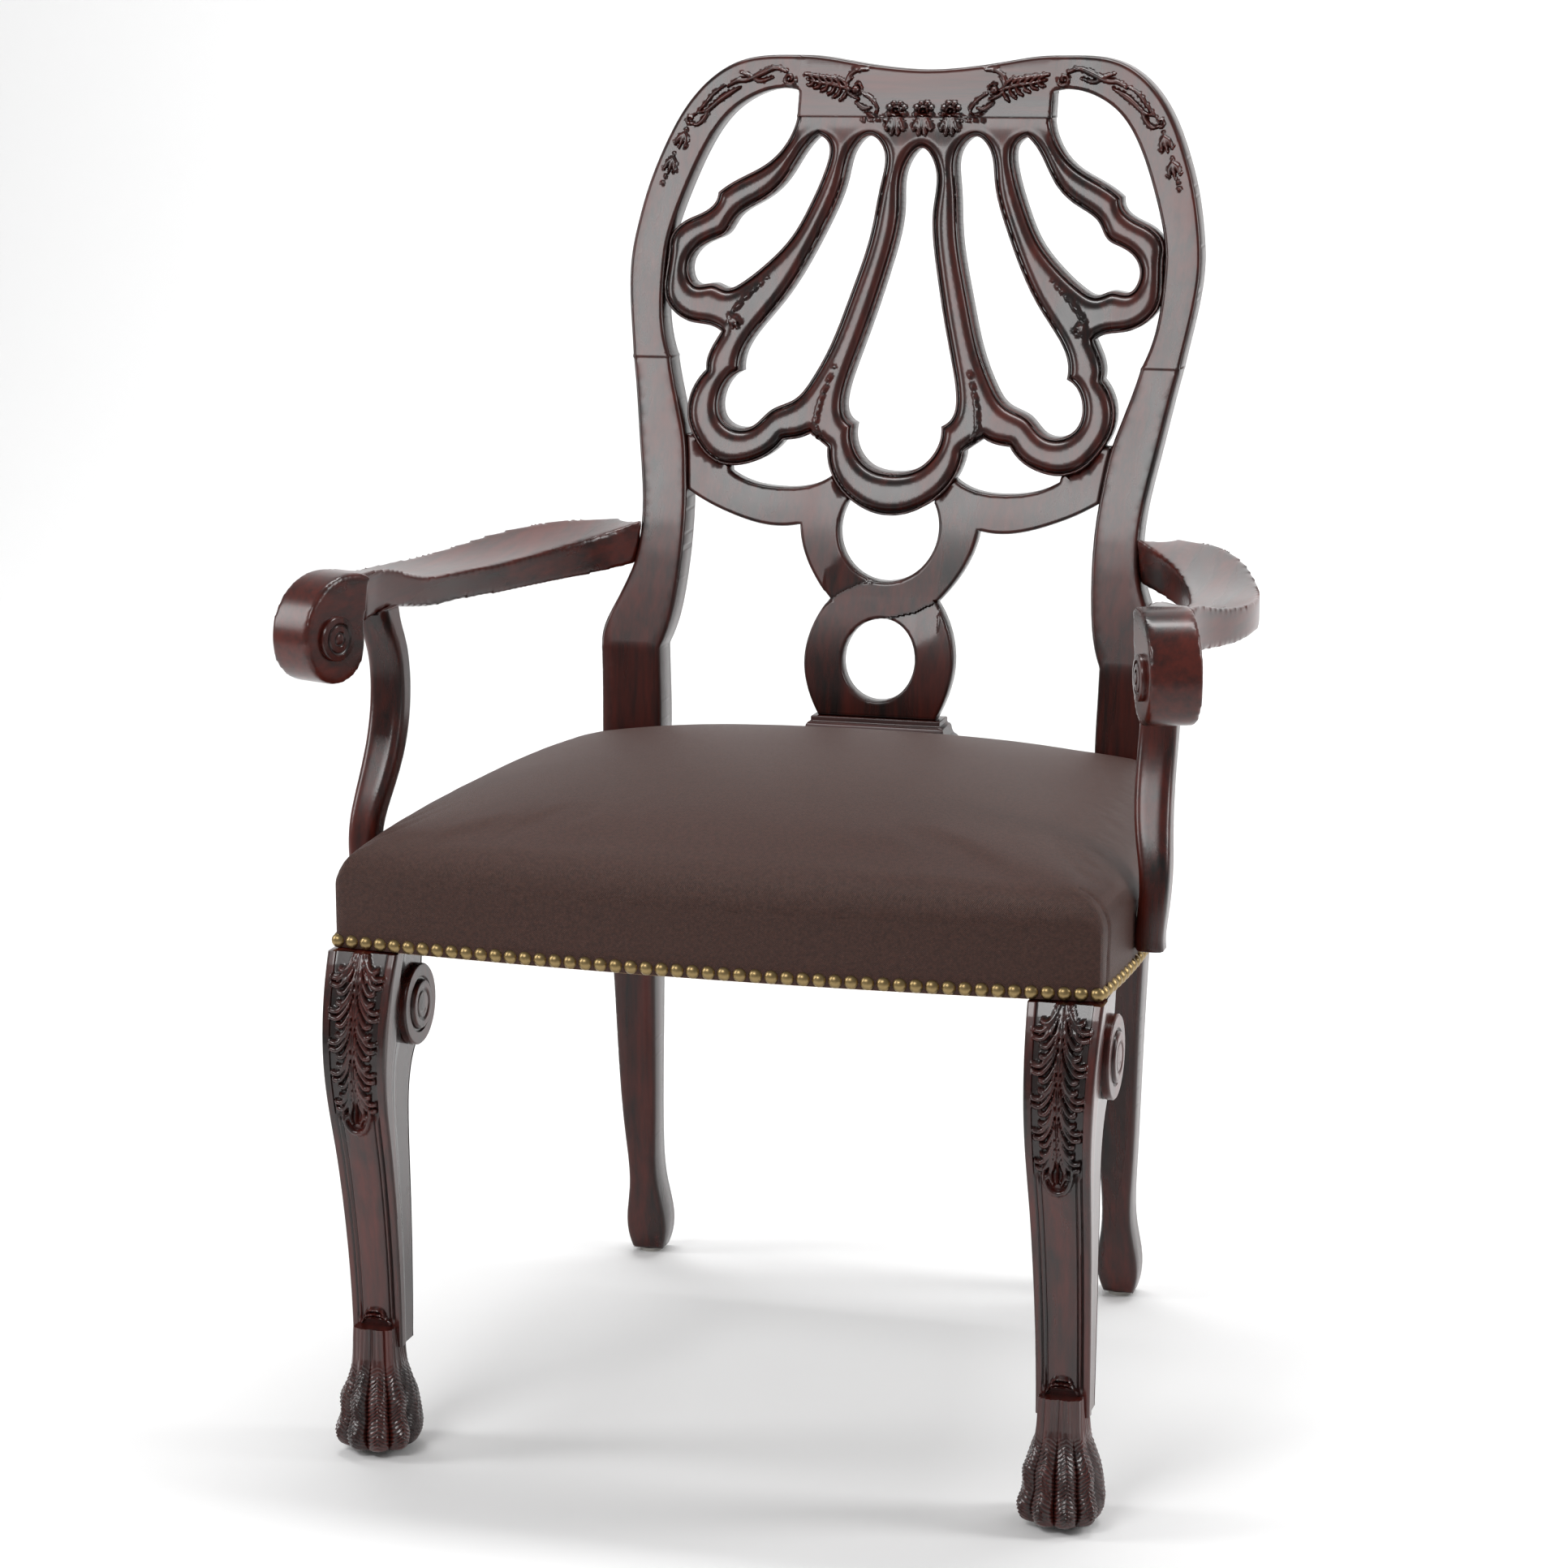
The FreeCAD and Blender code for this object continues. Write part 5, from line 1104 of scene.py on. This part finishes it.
def simple(name, color, metal, rough):
    """An even material with a fine tooth to its surface."""
    material = bpy.data.materials.new(name)
    material.use_nodes = True
    skin = material.node_tree.nodes["Principled BSDF"]
    skin.inputs["Base Color"].default_value = color
    skin.inputs["Metallic"].default_value = metal
    skin.inputs["Roughness"].default_value = rough
    speck = add_node(material.node_tree, "ShaderNodeTexNoise", Scale=900.0, Detail=3.0)
    bump = add_node(material.node_tree, "ShaderNodeBump", Strength=0.06, Distance=0.0003)
    material.node_tree.links.new(speck.outputs["Fac"], bump.inputs["Height"])
    material.node_tree.links.new(bump.outputs["Normal"], skin.inputs["Normal"])
    return material


def dress(word, material):
    """Gives a material to every CAD node whose name holds a word."""
    for name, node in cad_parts.items():
        if word in name:
            for place in range(len(node.data.materials)):
                node.data.materials[place] = material


raw_beech = lacquered("raw_beech", ACROSS, (0.52, 0.34, 0.19, 1), (0.34, 0.2, 0.1, 1), coat=0.0)
for word in ("rail_", "corner_block", "dowels"):
    dress(word, raw_beech)
dress("screws", simple("zinced_steel", (0.6, 0.58, 0.52, 1), 1.0, 0.35))
dress("glide", simple("grey_nylon", (0.42, 0.4, 0.37, 1), 0.0, 0.5))
dress("webbing", simple("jute_webbing", (0.36, 0.27, 0.16, 1), 0.0, 0.9))

# ---- The seat: webbing, burlap, a foam pad and a woven cover drawn down over it. ----
# The pad is crowned and its front edge rolls over. The cover is a hopsack cloth, pulled tight, folded
# once at each front corner and nailed along the bottom of the rails.


def weave():
    """The basket weave of the cover: the height of its threads and how much each varies in colour."""
    group = bpy.data.node_groups.new("hopsack_weave", "ShaderNodeTree")
    group_socket(group, "Pitch", "NodeSocketFloat", "INPUT", 0.0014)
    group_socket(group, "Height", "NodeSocketFloat", "OUTPUT")
    group_socket(group, "Shade", "NodeSocketFloat", "OUTPUT")
    link = group.links.new
    source = group.nodes.new("NodeGroupInput")
    result = group.nodes.new("NodeGroupOutput")
    place = group.nodes.new("ShaderNodeTexCoord")
    split = group.nodes.new("ShaderNodeSeparateXYZ")
    link(place.outputs["Object"], split.inputs[0])
    facing = group.nodes.new("ShaderNodeNewGeometry")
    lie = group.nodes.new("ShaderNodeSeparateXYZ")
    link(facing.outputs["Normal"], lie.inputs[0])

    def math_node(operation, first, second=None):
        made = add_node(group, "ShaderNodeMath", operation=operation)
        for socket, value in zip(made.inputs, (first, second)):
            if value is None:
                continue
            if isinstance(value, (int, float)):
                socket.default_value = value
            else:
                link(value, socket)
        return made.outputs[0]

    wave_turn = math_node("DIVIDE", 2 * math.pi, source.outputs["Pitch"])
    waves = [math_node("SINE", math_node("MULTIPLY", axis, wave_turn)) for axis in split.outputs[:3]]
    up = math_node("GREATER_THAN", math_node("ABSOLUTE", lie.outputs["Z"]), 0.55)
    sideways = math_node("GREATER_THAN", math_node("ABSOLUTE", lie.outputs["X"]), 0.7)

    def choose(amount, off, on):
        spread = math_node("SUBTRACT", on, off)
        return math_node("ADD", off, math_node("MULTIPLY", amount, spread))

    first = choose(sideways, waves[0], waves[1])
    second = choose(up, waves[2], waves[1])
    second = choose(math_node("MULTIPLY", sideways, math_node("SUBTRACT", 1, up)), second, waves[2])
    cells = math_node("MULTIPLY", first, second)
    link(cells, result.inputs["Height"])
    slub = add_node(group, "ShaderNodeTexNoise", Scale=420.0, Detail=3.0)
    link(place.outputs["Object"], slub.inputs["Vector"])
    link(math_node("ADD", math_node("MULTIPLY", cells, 0.22), slub.outputs["Fac"]), result.inputs["Shade"])
    return group


def cover_cloth():
    """Brown hopsack, whose threads vary a little in colour."""
    material = bpy.data.materials.new("woven_cover")
    material.use_nodes = True
    tree = material.node_tree
    skin = tree.nodes["Principled BSDF"]
    threads = tree.nodes.new("ShaderNodeGroup")
    threads.node_tree = weave()
    ramp = add_node(tree, "ShaderNodeMix", data_type="RGBA")
    ramp.inputs[6].default_value = (0.027, 0.0098, 0.0068, 1)
    ramp.inputs[7].default_value = (0.070, 0.027, 0.0185, 1)
    spread = add_node(tree, "ShaderNodeMapRange")
    spread.inputs["From Min"].default_value = 0.22
    spread.inputs["From Max"].default_value = 0.78
    tree.links.new(threads.outputs["Shade"], spread.inputs["Value"])
    tree.links.new(spread.outputs[0], ramp.inputs[0])
    tree.links.new(ramp.outputs[2], skin.inputs["Base Color"])
    bump = add_node(tree, "ShaderNodeBump", Strength=0.5, Distance=0.0004)
    tree.links.new(threads.outputs["Height"], bump.inputs["Height"])
    tree.links.new(bump.outputs["Normal"], skin.inputs["Normal"])
    skin.inputs["Roughness"].default_value = 0.5
    skin.inputs["Specular IOR Level"].default_value = 0.28
    skin.inputs["Sheen Weight"].default_value = 0.03
    skin.inputs["Sheen Roughness"].default_value = 0.4
    return material


def level_loop(node, z):
    """The largest outline of a node where a level plane cuts it."""
    work = welded(node)
    cut = bmesh.ops.bisect_plane(work, geom=work.verts[:] + work.edges[:] + work.faces[:],
                                 plane_co=(0, 0, z), plane_no=(0, 0, 1))["geom_cut"]
    runs = chains([e for e in cut if isinstance(e, bmesh.types.BMEdge)])
    loops = [np.array([[v.co.x, v.co.y] for v in chain]) for chain in runs if len(chain) > 2]
    work.free()
    return max(loops, key=lambda loop: np.prod(np.ptp(loop, axis=0)))


def shoelace(loop):
    """The area inside a loop, which is negative where it runs clockwise."""
    x, y = loop.T
    return 0.5 * (x @ np.roll(y, -1) - y @ np.roll(x, -1))


def anticlockwise(loop):
    return loop[::-1] if shoelace(loop) < 0 else loop


COVER_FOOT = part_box("seat_cover")[0].z
NAIL_LINE = 0.407
ROLL = 0.024
PAD_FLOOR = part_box("seat_pad")[0].z
WRAP_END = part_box("rail_left")[1].y - 0.0002
BACK_HELD = 0.165
SHOULDER_WIDTH = 0.1
SHOULDER_DROP = 0.004
CLOTH_TUCK = 0.0013
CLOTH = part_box("seat_cover")[1].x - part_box("seat_pad")[1].x


def seat():
    """The padded block: a crowned top, rolled edges, walls down to the nails and a flat underside."""
    outline = anticlockwise(resampled(level_loop("seat_pad", PAD_FLOOR + 0.012), 0.0055))
    outline = outline - normals(outline) * np.where(outline[:, 1] < WRAP_END, CLOTH, 0)[:, None]
    points, triangles, count = triangulated([outline], (0.0015, 0.004, 0.0075, 0.012, 0.0175, 0.024), 0.0075)
    gap = distances(points, edge_tree([outline]))
    tree = cad_tree("seat_cover")
    inner = points + (points.mean(0) - points) * 0.004
    crown = filled(points, np.array([
        tree.ray_cast(Vector((x, y, 2)), Vector((0, 0, -1)))[0] or Vector((x, y, np.nan)) for x, y in inner
    ])[:, 2])
    side_gap = np.clip(1 - gap / SHOULDER_WIDTH, 0, 1) * np.clip((BACK_HELD - points[:, 1]) / 0.1, 0, 1)
    top = crown - eased(gap, ROLL) - SHOULDER_DROP * side_gap ** 2
    border = points[:count]
    rim = top[:count]
    foot = np.where(border[:, 1] < WRAP_END, COVER_FOOT, PAD_FLOOR)
    tucked = border + normals(border) * CLOTH_TUCK
    rows = [np.column_stack([border, rim + (foot - rim) * share]) for share in np.linspace(0, 1, 15)[1:]]
    rows += [np.column_stack([tucked, foot + (PAD_FLOOR - foot) * share]) for share in (0, 0.5, 1)]
    solid = [np.column_stack([points, top])] + rows
    solid.append(np.column_stack([points[count:], np.full(len(points) - count, PAD_FLOOR)]))
    faces = turned(points, triangles)
    above = list(range(count))
    total = len(points)
    for _ in rows:
        below = list(range(total, total + count))
        for i in range(count):
            after = (i + 1) % count
            faces.append((above[i], below[i], below[after], above[after]))
        total += count
        above = below
    under = above + list(range(total, total + len(points) - count))
    faces += [tuple(under[int(i)] for i in face[::-1]) for face in faces[:len(triangles)]]
    return np.vstack(solid), faces


seat_points, seat_faces = seat()
seat_piece = finish_piece("upholstered_seat", seat_points, seat_faces, cover_cloth(),
                          ["seat_cover", "seat_pad"])
sewn = bmesh.new()
sewn.from_mesh(seat_piece.data)
bmesh.ops.remove_doubles(sewn, verts=sewn.verts, dist=1e-5)
bmesh.ops.recalc_face_normals(sewn, faces=sewn.faces)
sewn.to_mesh(seat_piece.data)
sewn.free()


SETTLING_FRAMES = 20
MOST_SETTLING = 0.002


def nailed_down(points):
    """The points that the nails, the underside and the back hold still."""
    return ((points[:, 2] < NAIL_LINE) | (abs(points[:, 2] - PAD_FLOOR) < 0.0001)
            | (points[:, 1] > BACK_HELD))


def plump(piece):
    """Lets the cover settle under the push of the pad, held where it is nailed."""
    rest = np.array([v.co for v in piece.data.vertices])
    pins = piece.vertex_groups.new(name="nailed")
    pins.add([int(i) for i in np.where(nailed_down(rest))[0]], 1.0, "REPLACE")
    cloth = piece.modifiers.new("cloth", "CLOTH")
    cloth.settings.vertex_group_mass = "nailed"
    cloth.settings.use_pressure = True
    cloth.settings.uniform_pressure_force = 4.0
    cloth.settings.tension_stiffness = 25
    cloth.settings.compression_stiffness = 25
    cloth.settings.shear_stiffness = 12
    cloth.settings.quality = 5
    cloth.settings.effector_weights.gravity = 0
    scene = bpy.context.scene
    for step in range(1, SETTLING_FRAMES + 1):
        scene.frame_set(step)
    settled = bpy.data.meshes.new_from_object(piece.evaluated_get(bpy.context.evaluated_depsgraph_get()))
    moved = np.array([v.co for v in settled.vertices]) - rest
    far = np.linalg.norm(moved, axis=1)
    held = np.clip((rest[:, 2] - PAD_FLOOR) / 0.03, 0, 1) * np.clip((BACK_HELD - rest[:, 1]) / 0.09, 0, 1)
    moved *= (held * np.minimum(1, MOST_SETTLING / np.maximum(far, 1e-9)))[:, None]
    piece.modifiers.remove(cloth)
    piece.data.vertices.foreach_set("co", (rest + moved).ravel())
    piece.data.update()
    scene.frame_set(1)


plump(seat_piece)
finer = seat_piece.modifiers.new("finer", "SUBSURF")
finer.levels = 1
finer.render_levels = 1
subdivided = bpy.data.meshes.new_from_object(seat_piece.evaluated_get(bpy.context.evaluated_depsgraph_get()))
seat_piece.modifiers.clear()
seat_piece.data = subdivided
subdivided.shade_smooth()
# The fold at each front corner: how far out and where along the side it lies, and how deep and wide it is.
FOLD_OUT = 0.27
FOLD_Y = -0.3045
FOLD_DEEP = 0.0024
FOLD_WIDE = 0.0022
for vertex in subdivided.vertices:
    x, y, z = vertex.co
    fold = math.exp(-((y - FOLD_Y - (z - 0.43) * 0.12) / FOLD_WIDE) ** 2)
    if abs(x) > FOLD_OUT and z > COVER_FOOT and fold > 0.02:
        vertex.co.x -= math.copysign(FOLD_DEEP * fold * min(1, (z - COVER_FOOT) / 0.015), x)


def cloth_sheet(name, node, z, thick, shape, material):
    """A flat-cut sheet, tacked round its edge, with its own small thickness."""
    widest = max(face_loops(node, -1, axis=2), key=lambda loop: abs(shoelace(loop)))
    outline = anticlockwise(resampled(widest, 0.007))
    points, triangles, count = triangulated([outline], (0.004,), 0.009)
    down = shape(points, distances(points, edge_tree([outline])))
    total = len(points)
    solid = np.vstack([np.column_stack([points, z - down]), np.column_stack([points, z - thick - down])])
    faces = turned(points, triangles)
    faces += [tuple(i + total for i in face[::-1]) for face in faces]
    for i in range(count):
        after = (i + 1) % count
        faces.append((i, i + total, after + total, after))
    piece = finish_piece(name, solid, faces, material, [node])


burlap_cloth = simple("burlap_weave", (0.33, 0.25, 0.15, 1), 0.0, 0.95)
cambric_cloth = simple("black_cambric", (0.014, 0.012, 0.012, 1), 0.0, 0.9)
cloth_sheet("burlap_sheet", "burlap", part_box("burlap")[1].z, 0.0008, lambda p, gap: np.zeros(len(p)),
            burlap_cloth)

# ---- The nails and the dust cover: the last of the upholstery. ----
# Domed nails of antique brass, set close along the bottom of the rails. A black cambric dust cover is
# tacked under the frame; it sags a little, and its front edge has worked loose in places.

dress("nails", simple("antique_brass", (0.30, 0.215, 0.10, 1), 1.0, 0.36))


# Where each loose stretch of the front edge lies across the chair, its half width and how far it hangs.
LOOSE_STRETCHES = ((-0.16, 0.022, 0.006), (-0.112, 0.012, 0.0045), (-0.055, 0.02, 0.0065))


def loose_edge(points, gap):
    """How far the cambric hangs: its sag, and three loose stretches along its front edge."""
    sag = 0.003 * np.clip(gap / 0.15, 0, 1) * (2 - np.clip(gap / 0.15, 0, 1))
    x, y = points.T
    near_front = np.clip(1 - (y - y.min()) / 0.03, 0, 1)
    drop = sum(tall * np.exp(-((x - place) / wide) ** 2) for place, wide, tall in LOOSE_STRETCHES)
    ragged = 0.6 + 0.4 * np.sin(x * 610) * np.sin(x * 257 + 1)
    return sag + drop * near_front * ragged


cloth_sheet("cambric_dust_cover", "dust_cover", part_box("dust_cover")[1].z - 0.0001, 0.0007, loose_edge,
            cambric_cloth)
